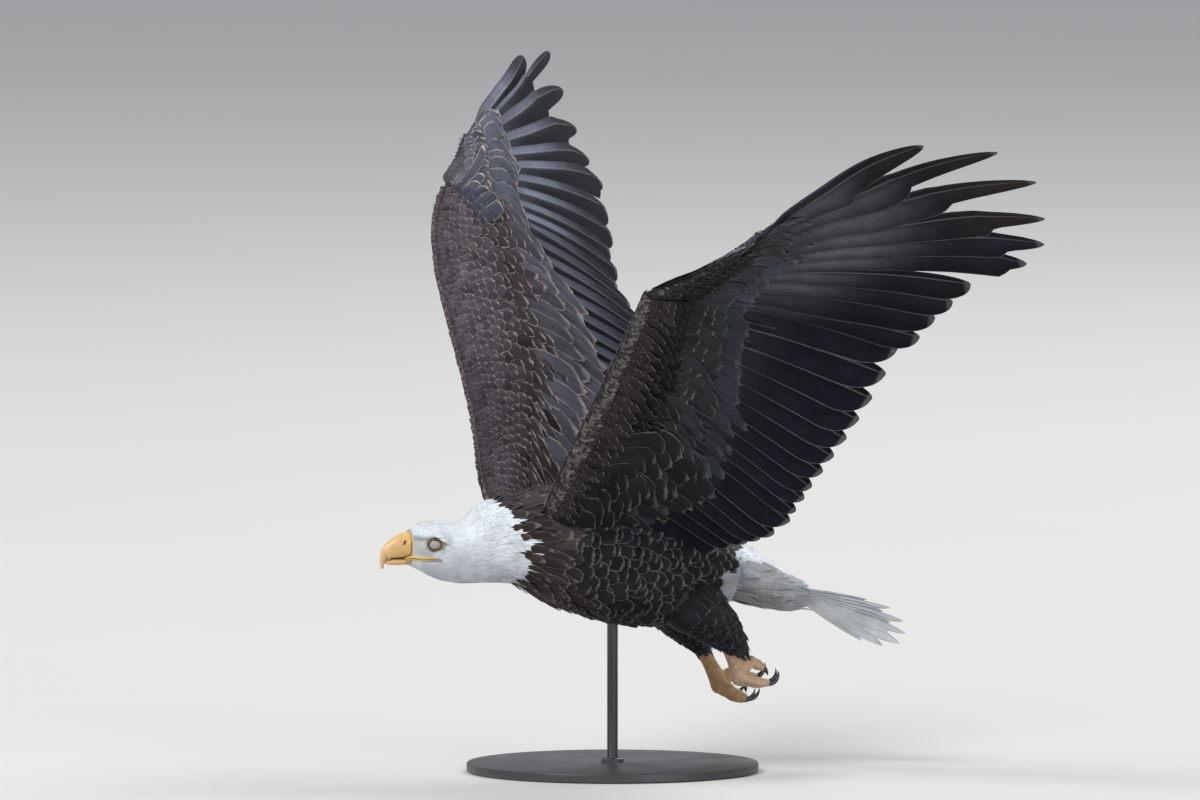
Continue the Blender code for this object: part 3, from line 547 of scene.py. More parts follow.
def metal_material():
    """Satin charcoal paint with a fine orange-peel and slightly rubbed edges."""
    made = Nodes("charcoal_paint")
    dust = made.ramp(made.noise(9.0, 5.0), 0.35, 0.75)
    edge = made.add("ShaderNodeNewGeometry").outputs["Pointiness"]
    body = made.mix(made.times(dust, 0.5), (0.040, 0.041, 0.044), (0.060, 0.060, 0.062))
    body = made.mix(made.times(made.ramp(edge, 0.52, 0.60), 0.35), body, (0.22, 0.22, 0.23))
    return made.finished(body, made.line(dust, 0.14, 0.36), (made.noise(520.0, 2.0), 0.12, 0.0002),
                         Metallic=0.35)


def floor_material(colour):
    made = Nodes("floor_paint")
    tone = made.mix(made.noise(1.5), tuple(c * 0.97 for c in colour), tuple(colour))
    return made.finished(tone, 0.95, Specular_IOR_Level=0.1)


# ------------------------------------------------------------------ charts of the body
class Chart:
    """Grid of points over a stretch of skin, with the coat's depth, read between its points.
    It wraps round a limb, or lies open where its outward side is given."""

    def __init__(self, points, depth, outward=None):
        self.points, self.wraps = points, outward is None
        self.depth = np.broadcast_to(depth, points.shape[:2])[..., None]
        self.down = np.gradient(points, axis=0)
        if self.wraps:
            outward = points - points.mean(axis=1, keepdims=True)
            self.across = (np.roll(points, -1, axis=1) - np.roll(points, 1, axis=1)) / 2
        else:
            self.across = np.gradient(points, axis=1)
        normals = unit(np.cross(self.down, self.across))
        flip = np.sign(np.sum(normals * outward, axis=-1, keepdims=True))
        self.normals = normals * np.where(flip == 0, 1, flip)

    def read(self, grid, u, v):
        rows, columns = grid.shape[:2]
        i = np.clip(np.floor(u).astype(int), 0, rows - 2)
        s = (u - i)[..., None]
        j = np.floor(v).astype(int)
        if self.wraps:
            t = (v - j)[..., None]
            j, k = j % columns, (j + 1) % columns
        else:
            j = np.clip(j, 0, columns - 2)
            t, k = (v - j)[..., None], j + 1
        return ((grid[i, j] * (1 - s) + grid[i + 1, j] * s) * (1 - t)
                + (grid[i, k] * (1 - s) + grid[i + 1, k] * s) * t)

    def at(self, u, v):
        return self.read(self.points, u, v)

    def stretch(self, grid, u, v):
        """Length in metres of one step down or across the chart."""
        return np.linalg.norm(self.read(grid, u, v), axis=-1)

    def unwrap(self, u, v, part=0, parts=1, margins=(0.01, 0.01)):
        """Places on the coat's unwrap, in one of several parts side by side."""
        rows, columns = self.points.shape[:2]
        across = (v / columns) % 1.0 if self.wraps else v / columns
        side, end = margins
        return np.stack([(part + side + (1 - 2 * side) * across) / parts,
                         end + (1 - 2 * end) * u / rows], axis=1)


def ring_angles(count=RING):
    return 2 * math.pi * np.arange(count) / count


def torso_rings(xs, grow):
    """Cross-sections of head, neck and trunk; the head has brows and hollow lores."""
    crown, keel, half, level = (spline(TORSO, xs)[:, k:k + 1] for k in range(4))
    angle = ring_angles()[None, :]
    across, rise = power(np.cos(angle), 0.90), power(np.sin(angle), 0.90)
    height = np.where(rise > 0, crown - level, level - keel)
    y = across * (half + grow)
    z = level + rise * (height + grow)
    from_brow = np.degrees(np.arcsin(np.clip(np.sin(angle), -1, 1))) - BROW_ANGLE
    along = hump(xs[:, None], BROW_X, 0.016) * (xs[:, None] > HEAD_BACK)
    brow = BROW_RISE * along * hump(from_brow, 0.0, 16.0)
    lore = LORE_SINK * along * hump(from_brow, -32.0, 16.0)
    y = y + np.where(np.abs(y) > 0.008, np.copysign(brow - lore, y), 0.0)
    return np.stack([np.broadcast_to(xs[:, None], y.shape), y, z], axis=-1)


def tail_frame(twist):
    """Tail's direction, side and plane normal for a twist in degrees."""
    along = pointing_back(TAIL_DROP, TAIL_YAW)
    side = (Vector((0, 1, 0)) - along * along.y).normalized()
    normal = side.cross(along)
    if normal.z < 0:
        normal = -normal
    turn = math.radians(twist)
    return tuple(np.array(vector) for vector in (
        along, side * math.cos(turn) + normal * math.sin(turn),
        normal * math.cos(turn) - side * math.sin(turn)))


def tail_point(share, reach):
    """Point on the tail: share from -1 (right) to 1 (left), reach along its feathers."""
    full = TAIL_LENGTH - TAIL_SHORTEN * share * share
    fan = math.radians(TAIL_FAN) * share
    forward = math.cos(fan) * full * reach
    sideways = TAIL_ROOT_HALF * share + math.sin(fan) * full * reach
    along, side, normal = tail_frame(TAIL_TWIST * forward / TAIL_LENGTH)
    sag = TAIL_TIP_SAG * reach * reach - TAIL_EDGE_RISE * share * share * reach
    return np.array(TAIL_BASE) + along * forward + side * sideways + normal * -sag


def rump_rings(grow):
    """Sections of the rump and of the tail's covered root, which stays thin."""
    rings = []
    angle = ring_angles()
    for distance, half, above, below in RUMP + TAIL_COVER:
        along, side, normal = tail_frame(TAIL_TWIST * max(distance, 0.0) / TAIL_LENGTH)
        sag = TAIL_TIP_SAG * (max(distance, 0.0) / TAIL_LENGTH) ** 2
        centre = np.array(TAIL_BASE) + along * distance - normal * sag * (distance > 0.1)
        rise = np.sin(angle)
        thick = np.where(rise > 0, above, below)
        shrink = min(grow, 0.0) if distance < 0.09 else max(grow, -0.001)
        thick = np.maximum(thick + shrink, 0.0015)
        rings.append(centre + side * ((half + shrink) * power(np.cos(angle), 0.85))[:, None]
                     + normal * (thick * rise)[:, None])
    return rings


class Trunk:
    """Chart from the face to the tail, with a way to find a row from its place along the bird."""

    def __init__(self, sizes):
        face, nape, collar_x = TORSO[0][0], TORSO[6][0], 0.1400
        self.xs = np.concatenate([np.linspace(face, nape, 36, endpoint=False),
                                  np.linspace(nape, collar_x, 26, endpoint=False),
                                  np.linspace(collar_x, TRUNK_BACK, 40)])
        coat = np.interp(-self.xs, (-face, -0.262, -0.214, -0.190, -0.120, 0.150),
                         (0.0010, sizes.head_coat, sizes.head_coat * 1.2, sizes.neck_coat,
                          sizes.body_coat, sizes.body_coat))
        rings = list(torso_rings(self.xs, -coat[:, None]))
        keys = rings[-1:] + rump_rings(-sizes.body_coat * 0.75)
        rings += [lerp(near, far, step / 4) for near, far in zip(keys, keys[1:])
                  for step in range(1, 5)]
        behind = len(rings) - len(coat)
        depth = np.concatenate([coat, np.interp(np.arange(behind), (0, 18, behind),
                                                (sizes.body_coat, 0.006, 0.0015))])
        self.chart = Chart(np.array(rings), depth[:, None])
        self.rump_row = len(coat)

    def row(self, x):
        return float(np.interp(-x, -self.xs, np.arange(len(self.xs))))


# ------------------------------------------------------------------ wings
class Wing:
    """Skeleton and feather layout of one wing, from its named angles."""

    def __init__(self, pose, sign):
        self.sign = sign
        self.shoulder = Vector(SHOULDER)
        outward = pointing_out(*pose["arm"])
        self.wrist = self.shoulder + ARM * outward
        back = self.backward(outward)
        down = math.radians(pose["elbow"])
        elbow_way = back * math.cos(down) - outward.cross(back) * math.sin(down)
        along = (HUMERUS**2 - ULNA**2 + ARM**2) / (2 * ARM)
        self.elbow = (self.shoulder + outward * along
                      + elbow_way * math.sqrt(HUMERUS**2 - along**2))
        self.hand = pointing_out(*pose["hand"][:2])
        back, twist = self.backward(self.hand), math.radians(pose["hand"][2])
        self.hand_back = back * math.cos(twist) - self.hand.cross(back) * math.sin(twist)
        self.angles, self.lengths = pose["angles"], pose["lengths"]
        self.lead_root, self.bulge = Vector(pose["lead_root"]), pose["bulge"]
        self.middle, self.inner = pointing_back(*pose["middle"]), pointing_back(*pose["inner"])
        self.lay_out()

    @staticmethod
    def backward(axis):
        back = Vector((-1, 0, 0))
        return (back - axis * back.dot(axis)).normalized()

    def root(self, q):
        """Root of feather q: 0 is the outermost primary, 10 the first secondary."""
        if q <= 9:
            return self.wrist + self.hand * MANUS * (9 - q) / 9
        place = q - 10
        if place <= 0:
            return self.wrist.copy()
        if place <= 10:
            return self.wrist.lerp(self.elbow, place / 10.5)
        if place <= 15:
            return self.elbow.lerp(self.shoulder, (place - 10) / 5 * 0.55)
        return self.elbow.lerp(self.shoulder, 0.55 + min((place - 15) / 3, 1.0) * 0.45)

    @staticmethod
    def between(values, number):
        low = min(max(int(math.floor(number)), 0), len(values) - 1)
        return lerp(values[low], values[min(low + 1, len(values) - 1)], number - low)

    def heading(self, q):
        angle = self.between(self.angles, 9 - q) if q <= 9 else self.angles[0] + WRIST_TURN
        angle = math.radians(angle)
        outer = self.hand * math.cos(angle) + self.hand_back * math.sin(angle)
        if q <= 9:
            return outer
        if q < 10:
            return self.heading(9).lerp(outer, q - 9).normalized()
        t = min((q - 10) / (SECONDARIES - 1), 1.0)
        way = outer * (1 - t)**2 + self.middle * 2 * t * (1 - t) + self.inner * t * t
        return way.normalized()

    def length(self, q):
        if q <= 9:
            return self.between(self.lengths, 9 - q)
        place = min(max(q - 10, 0), SECONDARIES - 1)
        inner = max(place + 1 - INNERMOST_SHORTEN, 0)
        full = SECONDARY_LENGTH - SECONDARY_STEP * place - SECONDARY_TAPER * inner * inner
        return full if q >= 10 else lerp(self.lengths[0], full, q - 9)

    def normal(self, q):
        """Upper side of the wing at feather q, averaged over its neighbours."""
        total = Vector()
        for step in (-2.0, -1.0, 0.0, 1.0, 2.0):
            here = min(max(q + step, 0.5), 24.5)
            outer, inner = here - 0.5, here + 0.5
            across = ((self.root(outer) + self.heading(outer) * self.length(outer) * 0.4)
                      - (self.root(inner) + self.heading(inner) * self.length(inner) * 0.4))
            total += across.cross(self.heading(here)).normalized()
        return total.normalized()

    def lead(self, q):
        """Leading edge ahead of feather q's root."""
        front = self.wrist - self.hand_back * 0.020 - self.hand * 0.004
        if q <= 9:
            tip = self.wrist + self.hand * (MANUS + 0.020) - self.hand_back * 0.004
            return front.lerp(tip, (9 - q) / 9)
        share = min(max(q - 10, 0) / 15, 1.0) ** 0.85
        ahead = self.bulge * 9.48 * share * (1 - share)**3
        buried = self.lead_root - Vector((0.0, 0.030, 0.030))
        end = self.lead_root.lerp(buried, max(q - 25, 0) / 3)
        return front.lerp(end, share) + Vector((ahead, 0.0, 0.0))

    @staticmethod
    def cover(q):
        """Share of feather q hidden by the coverts."""
        if q <= 9:
            return lerp(0.27, 0.38, q / 9)
        return lerp(0.40, 0.52, min((q - 10) / 6, 1.0))

    def out(self, points):
        """Mirror to the bird's right side where needed."""
        return np.asarray(points) * np.array((1.0, self.sign, 1.0))

    def lay_out(self):
        """Arrays over the feather places: roots, headings, lengths, normals and covers."""
        self.q = np.arange(Q_START, Q_END + 0.01, Q_STEP)
        self.roots, self.headings, self.leads, self.normals, self.lengths_at, covers = (
            np.array([way(q) for q in self.q])
            for way in (self.root, self.heading, self.lead, self.normal, self.length, self.cover))
        self.fronts = np.linalg.norm(self.roots - self.leads, axis=1)
        self.whole = self.fronts + covers * self.lengths_at

    def whole_at(self, q):
        """Length of the chord under the coverts."""
        return np.interp(q, self.q, self.whole)

    def spot(self, share, q):
        """Chart row and column at a share of the covered chord, for places q."""
        row = np.broadcast_to(np.asarray(share, float) / CHART_STEP, np.shape(q))
        return row, (np.asarray(q, float) - Q_START) / Q_STEP

    def layers(self):
        """Middle surface and half thickness of the frame's wing, rows from the leading edge."""
        share = np.arange(0.0, CHART_END, CHART_STEP)[:, None] * np.ones_like(self.q)
        run = share * self.whole
        rows = np.where(run < self.fronts, run / self.fronts - 1,
                        (run - self.fronts) / self.lengths_at)
        bowed = FEATHER_BOW * self.lengths_at * 4 * rows * (1 - rows)
        ahead = lerp(self.leads[None], self.roots[None], (rows + 1)[..., None])
        behind = (self.roots + self.headings * (self.lengths_at * rows)[..., None]
                  + self.normals * bowed[..., None])
        middle = np.where(rows[..., None] < 0, ahead, behind)
        inside = np.clip(share, 0, 1)
        middle = middle + self.normals * (0.05 * self.whole * np.sin(math.pi * inside))[..., None]
        thickest = np.where(self.q < 0.01, 0.0075, lerp(0.0085, 0.0155, np.clip(self.q / 14, 0, 1)))
        profile = np.sqrt(np.maximum(inside, 0.004)) * (1 - inside) * 2.45
        half = np.maximum(thickest * profile, lerp(0.0030, 0.0012, inside))
        half = np.where(share > 1, np.maximum(0.0012 - 0.002 * (share - 1), 0.0006), half)
        return middle, half, run, share

    def charts(self):
        """Skin charts of the upper and lower side, with the coat's depth over them."""
        middle, half, run, share = self.layers()
        nose = np.sqrt(np.clip(1 - (1 - np.minimum(run / 0.009, 1.0)) ** 2, 0, 1))
        inner = half * lerp(0.60, 0.16, smooth(0.10, 0.75, share)) * nose
        made = {}
        for name, way in (("upper", 1.0), ("lower", -1.0)):
            points = middle + self.normals * (inner * way)[..., None]
            outward = self.out(np.broadcast_to(self.normals * way, points.shape))
            made[name] = Chart(self.out(points), half - inner, outward)
        return made

# ------------------------------------------------------------------ feather templates
class Vane:
    """One feather of unit length and half width as arrays, closed round its rim."""

    def __init__(self, outline, columns=(-1.0, -0.5, 0.0, 0.5, 1.0)):
        rows, across = len(outline) - 1, len(columns) - 1
        shape = bmesh.new()
        bmesh.ops.create_grid(shape, x_segments=across, y_segments=rows, size=1.0)
        for vert in shape.verts:
            column = round((vert.co.x + 1) / 2 * across)
            reach, width = outline[round((vert.co.y + 1) / 2 * rows)]
            rim = column in (0, across) or reach in (outline[0][0], outline[-1][0])
            vert.co = (reach, columns[column] * width, 0.0 if rim else 1.0)
        under = bmesh.ops.duplicate(shape, geom=shape.verts[:] + shape.edges[:] + shape.faces[:])
        for item in under["geom"]:
            if isinstance(item, bmesh.types.BMVert):
                item.co.z = -item.co.z
        bmesh.ops.reverse_faces(shape, faces=[item for item in under["geom"]
                                              if isinstance(item, bmesh.types.BMFace)])
        bmesh.ops.remove_doubles(shape, verts=shape.verts[:], dist=1e-5)
        shape.verts.index_update()
        self.points = np.array([tuple(vert.co) for vert in shape.verts])
        self.faces = np.array([[vert.index for vert in face.verts] for face in shape.faces])
        shape.free()
        reaches, widths = np.array(outline).T
        self.share = self.points[:, 1] / np.interp(self.points[:, 0], reaches, widths)
        self.uv = np.stack([self.share * 0.5 + 0.5, self.points[:, 0]], axis=1)


ROUND = ((0.0, 0.30), (0.2, 0.72), (0.42, 0.95), (0.66, 1.0), (0.84, 0.88), (0.95, 0.60),
         (1.0, 0.24))
POINTED = ((0.0, 0.35), (0.2, 0.80), (0.42, 1.0), (0.64, 0.88), (0.82, 0.60), (0.94, 0.30),
           (1.0, 0.06))
SQUARE = ((0.0, 0.35), (0.22, 0.80), (0.45, 1.0), (0.72, 1.0), (0.88, 0.93), (0.96, 0.72),
          (1.0, 0.42))
BLUNT = ((0.0, 0.32), (0.2, 0.74), (0.42, 0.96), (0.66, 1.0), (0.84, 0.93), (0.95, 0.72),
         (1.0, 0.40))
SMALL = ((0.0, 0.45), (0.3, 0.95), (0.62, 1.0), (0.86, 0.66), (1.0, 0.14))
SCUTE = ((0.0, 0.86), (0.25, 1.0), (0.75, 0.98), (0.93, 0.80), (1.0, 0.55))


def lay(chart, vane, u, v, turn, size, lift, ragged, camber=0.10, roll=0.0, thick=0.00022,
        proud=0.0):
    """Bend one vane onto each place of a chart.  size is (lengths, half widths), lift is the
    share of the coat's depth at the root and at the tip, and proud is added at the tip."""
    def each(value):
        return np.broadcast_to(value, u.shape)[:, None]

    lengths, halves = size
    down, across = chart.read(chart.down, u, v), chart.read(chart.across, u, v)
    scale = np.linalg.norm(down, axis=-1)
    first = down / scale[:, None]
    skew = np.sum(across * first, axis=-1)
    second = across - skew[:, None] * first
    spread = np.linalg.norm(second, axis=-1)
    spread = np.maximum(spread, 0.35 * np.median(spread))
    reach, side, level = vane.points.T[:, None]
    if ragged is not None:
        frayed = ragged.uniform(-1, 1, (len(u), vane.points.shape[0]))
        reach = reach * (1 + 0.035 * frayed * (reach > 0.9))
    forward, sideways = reach * lengths[:, None], side * halves[:, None]
    cos, sin = np.cos(turn)[:, None], np.sin(turn)[:, None]
    move_down = forward * cos - sideways * sin
    move_across = forward * sin + sideways * cos
    dv = move_across / spread[:, None]
    du = (move_down - skew[:, None] * dv) / scale[:, None]
    rows, columns = chart.points.shape[:2]
    at_u = np.clip(u[:, None] + du, -2.0, rows + 0.012 / np.median(scale))
    at_v = v[:, None] + dv
    if not chart.wraps:
        at_v = np.clip(at_v, -2.0, columns + 1.0)
    points, normals = chart.at(at_u, at_v), unit(chart.read(chart.normals, at_u, at_v))
    depth = chart.read(chart.depth, at_u, at_v)[..., 0]
    root, tip = each(lift[0]), each(lift[1])
    height = depth * lerp(root, tip, reach ** 0.8) + each(proud) * reach
    height = height - camber * halves[:, None] * vane.share[None] ** 2 * smooth(0.0, 0.4, reach)
    height = height + each(roll) * sideways + thick * level * (1.15 - reach)
    return points + normals * height[..., None]


class Coat:
    """Feathers gathered as arrays and joined into one mesh."""

    def __init__(self, name, slot, material):
        self.name, self.slot, self.material = name, slot, material
        self.points, self.faces, self.colours, self.vanes, self.bakes = [], [], [], [], []
        self.count = 0

    def add(self, vane, points, colours, bake, patch=BAKE_PATCH):
        """points (feathers, verts, 3); colours (feathers, 4) or (feathers, verts, 4);
        bake (feathers, 2), the root's place on the skin's unwrap."""
        number, verts = points.shape[:2]
        if not number:
            return
        if colours.ndim == 2:
            colours = np.repeat(colours[:, None], verts, axis=1)
        offsets = self.count + np.arange(number)[:, None, None] * verts
        self.faces.append((vane.faces[None] + offsets).reshape(-1, 4))
        self.points.append(points.reshape(-1, 3))
        self.colours.append(colours.reshape(-1, 4))
        self.vanes.append(np.tile(vane.uv, (number, 1)))
        patches = bake[:, None] + (vane.uv[None] - 0.5) * np.asarray(patch)
        self.bakes.append(patches.reshape(-1, 2))
        self.count += number * verts

    def cover(self, rng, chart, vane, u, v, turn, size, lift, tint, part=(), frayed=True,
              **shape):
        """Lay a vane at each place of a chart.  tint is a base colour, its spread and the share
        of pale edge, or a function that gives the colour of each feather."""
        points = lay(chart, vane, u, v, turn, size, lift, rng if frayed else None, **shape)
        colours = tint() if callable(tint) else tinted(rng, tint[0], len(u), *tint[1:])
        self.add(vane, points, colours, chart.unwrap(u, v, *part))

    def build(self, replaced=()):
        points = to_world(np.concatenate(self.points))
        faces = np.concatenate(self.faces)
        mesh = bpy.data.meshes.new(self.name)
        mesh.vertices.add(len(points))
        mesh.loops.add(faces.size)
        mesh.polygons.add(len(faces))
        mesh.vertices.foreach_set("co", points.astype(np.float32).ravel())
        mesh.polygons.foreach_set("loop_start", np.arange(len(faces), dtype=np.int32) * 4)
        mesh.loops.foreach_set("vertex_index", faces.astype(np.int32).ravel())
        mesh.update(calc_edges=True)
        paint(mesh, np.concatenate(self.colours))
        for name, values in (("OFBake", self.bakes), ("vane", self.vanes)):
            layer = mesh.uv_layers.new(name=name)
            corners = np.concatenate(values)[faces.ravel()]
            layer.data.foreach_set("uv", corners.astype(np.float32).ravel())
        finish_piece(mesh, self.material, self.slot, replaced, sharp=70.0)


def tinted(rng, base, number, spread=0.14, edge=1.0):
    """Colours of feathers: a base with small differences, and the pale edge's share."""
    base = np.broadcast_to(np.asarray(base, float)[..., :3], (number, 3))
    factor = 1 + spread * rng.standard_normal((number, 1))
    edges = np.broadcast_to(edge, (number,)) * rng.uniform(0.7, 1.0, number)
    return np.concatenate([np.clip(base * np.clip(factor, 0.55, 1.6), 0, 1),
                           edges[:, None]], axis=1)


# ------------------------------------------------------------------ markings
def collar(points):
    """1 in the white of head and neck, 0 behind the collar, from places in the body frame."""
    border = (0.1640 + 0.020 * smooth(0.025, 0.065, points[..., 2])
              + 0.004 * np.sin(points[..., 2] * 210.0))
    return smooth(-0.006, 0.006, points[..., 0] - border)


def tail_white(points):
    """1 in the white of rump and tail."""
    along, _, normal = tail_frame(20.0)
    distance = (points - np.array(TAIL_BASE)) @ along
    above = (points - np.array(TAIL_BASE)) @ normal
    return smooth(-0.052, -0.030, distance - 0.004 * (above < 0))


def settings(context):
    scene = context.scene
    return scene.eagle_plumage, scene.eagle_soft_parts, scene.eagle_sizes


# ------------------------------------------------------------------ skin
def tube_rings(points, radii, sides, flatten=1.0, up=Vector((0, 0, 1))):
    """Rings of a tapered tube along a path, as arrays."""
    rings = []
    last = len(points) - 1
    for i, (centre, radius) in enumerate(zip(points, radii)):
        along = (points[min(i + 1, last)] - points[max(i - 1, 0)]).normalized()
        side = along.cross(up).normalized()
        rise = side.cross(along)
        rings.append([tuple(centre + side * radius * math.cos(a)
                            + rise * radius * flatten * math.sin(a))
                      for a in (2 * math.pi * k / sides for k in range(sides))])
    return np.array(rings)


def finer(rings, steps=4):
    """Rings resampled evenly with a smooth curve through them."""
    gaps = np.linalg.norm(np.diff(rings, axis=0), axis=2).mean(axis=1)
    keys = np.concatenate([[0.0], np.cumsum(gaps)])
    places = np.linspace(0, keys[-1], (len(rings) - 1) * steps + 1)
    table = np.concatenate([keys[:, None], rings.reshape(len(rings), -1)], axis=1)
    return spline([tuple(row) for row in table], places).reshape(-1, *rings.shape[1:])


class Leg:
    """Paths and charts of one leg's trousers, shank and toes."""

    def __init__(self, leg, sign, coat):
        hip, knee, cuff, ankle, palm = (Vector(leg[key]) for key in
                                        ("hip", "knee", "cuff", "ankle", "palm"))
        shin = (palm - ankle).normalized()
        end = cuff + shin * 0.004
        wide, narrow = leg["hip_radius"], leg["cuff_radius"]
        path = [hip, hip.lerp(knee, 0.55), knee, knee.lerp(cuff, 0.45), cuff - shin * 0.002, end]
        radii = (wide * 0.95, wide, wide * 0.86, lerp(wide, narrow, 0.55), narrow, narrow * 0.86)
        outer = finer(tube_rings(path, radii, 40, 0.95))
        centre = outer.mean(axis=1, keepdims=True)
        self.thigh = Chart(outer - unit(outer - centre) * coat, coat)
        start = ankle + shin * ((end - ankle).dot(shin) - 0.012)
        path = [start, start.lerp(palm, 0.45), start.lerp(palm, 0.8), palm + shin * 0.004,
                palm + shin * 0.011]
        self.shank = self.tube(path, (0.0098, 0.0092, 0.0112, 0.0135, 0.0085), 24, 6, 0.0006)
        ahead, curl = Vector(leg["toes"]).normalized(), Vector(leg["curl"]).normalized()
        across = ahead.cross(curl).normalized()
        if across.y * sign < 0:
            across = -across
        self.across, self.toes, self.toe_charts, self.toe_roots = across, [], [], []
        for toe in TOES.values():
            way = (ahead + across * toe["spread"]).normalized()
            base = palm + across * toe["offset"] + curl * toe["raised"] + ahead * 0.001
            path = [base + way * toe["length"] * s + curl * toe["bend"] * toe["length"] * s * s
                    for s in (0.0, 0.22, 0.42, 0.62, 0.82, 1.0)]
            radii = [toe["radius"] * k for k in (1.0, 1.12, 0.94, 1.04, 0.92, 0.74)]
            self.toe_charts.append(self.tube(path, radii, 20, 5, 0.0005, up=across))
            root = [palm - way * 0.002, path[0].lerp(path[1], 0.2), path[1].lerp(path[2], 0.4)]
            radii = [toe["radius"] * k for k in (1.25, 1.14, 0.96)]
            self.toe_roots.append(finer(tube_rings(root, radii, 20, up=across), 4))
            last = (path[-1] - path[-2]).normalized()
            hook = (curl - last * curl.dot(last)).normalized()
            hook *= math.copysign(1.0, toe["turn"])
            self.toes.append((toe, path[-1], last, hook))

    @staticmethod
    def tube(path, radii, sides, steps, depth, **options):
        rings = tube_rings(path, [radius - depth for radius in radii], sides, **options)
        return Chart(finer(rings, steps), depth)


class Bird:
    """All charts of the bird, worked out once."""

    made = None

    def __init__(self, sizes):
        self.trunk = Trunk(sizes)
        self.wings = {side: Wing(pose, sign) for side, sign, pose, _ in SIDES}
        self.wing_charts = {side: wing.charts() for side, wing in self.wings.items()}
        self.legs = {side: Leg(leg, sign, sizes.leg_coat) for side, sign, _, leg in SIDES}

    @classmethod
    def get(cls, context):
        cls.made = cls.made or cls(context.scene.eagle_sizes)
        return cls.made


def wing_skin(wing, charts):
    """Rings round the wing's flesh, from the hand's end to inside the trunk."""
    rows = list(range(0, 29, 2))
    rings = []
    for j in range(2, len(wing.q), 3):
        upper = charts["upper"].points[rows, j]
        lower = charts["lower"].points[rows, j]
        middle, span = (upper + lower) / 2, upper - lower
        thick = np.linalg.norm(span, axis=1, keepdims=True)
        span = unit(span + 1e-9) * np.maximum(thick, 0.0034) / 2
        rings.append(np.concatenate([middle + span, (middle - span)[::-1]]))
    return np.array(rings)


def flesh_forms(model):
    """Rings of each closed form of the flesh."""
    forms = [model.trunk.chart.points[:model.trunk.rump_row + 22]]
    for side, leg in model.legs.items():
        forms += [wing_skin(model.wings[side], model.wing_charts[side]), leg.thigh.points,
                  leg.shank.points, *(chart.points for chart in leg.toe_charts), *leg.toe_roots]
    return forms


def eye_frame(sign):
    """Centre of the eye, its axis, and the ways to the rear and up across it."""
    axis = np.array(EYE_AXIS)
    axis = axis / np.linalg.norm(axis) * (1.0, sign, 1.0)
    rear = unit(np.array((-1.0, 0.0, 0.0)) + axis * axis[0])
    up = np.cross(rear, axis)
    return np.array(EYE_AT) * (1.0, sign, 1.0), axis, rear, up if up[2] > 0 else -up


def from_eye(points, sign):
    """Distance off the eye's axis, height along it, and angle round it (0 rear, 90 up)."""
    centre, axis, rear, up = eye_frame(sign)
    offset = points - centre
    along = offset @ axis
    flat = offset - along[..., None] * axis
    return np.linalg.norm(flat, axis=-1), along, np.arctan2(flat @ up, flat @ rear)


def skin_colours(points, plumage, soft):
    """The coat's markings, on the skin."""
    x, y, z = points.T
    tone = np.tile(rgb(plumage.dark), (len(points), 1))
    tone = mixed(tone, rgb(plumage.white) * 0.9, collar(points) * (np.abs(y) < 0.10))
    # the skin under rump and tail takes the white with painted shade
    tone = mixed(tone, plumage.white_shade, tail_white(points) * (np.abs(y) < 0.2) * (z < 0.03))
    for _, sign, _, leg in SIDES:
        shin = unit(np.array(leg["palm"]) - np.array(leg["ankle"]))
        below = (points - np.array(leg["cuff"])) @ shin
        foot = smooth(-0.004, 0.001, below) * ((y * sign > 0) & (x < -0.13))
        tone = mixed(tone, soft.foot_pink if sign > 0 else soft.foot, foot)
        ring = (1 - smooth(0.0098, 0.0125, from_eye(points, sign)[0])) * (y * sign > 0)
        tone = mixed(tone, rgb(soft.gape) * 0.75, ring * 0.8)
    bare = smooth(0.2890, 0.2900, x) * smooth(-0.008, -0.004, z)
    return np.insert(mixed(tone, soft.cere, bare), 3, 0.0, axis=1)


def sculpt_head(points):
    """Sockets, brows and bags pressed into the skin round each eye."""
    for sign in (1.0, -1.0):
        distance, _, angle = from_eye(points, sign)
        own = points[:, 1] * sign > 0.004
        socket = hump(distance, 0.0, 0.0095, 4) * own
        brow = hump(distance, 0.0118, 0.0032) * own * hump(angle, 1.60, 0.90)
        bag = hump(distance, 0.0120, 0.0022) * own * hump(angle, -1.4, 1.1)
        move = brow * 0.0030 + bag * 0.0005 - socket * 0.0020
        points = points + eye_frame(sign)[1] * move[:, None]
    return points


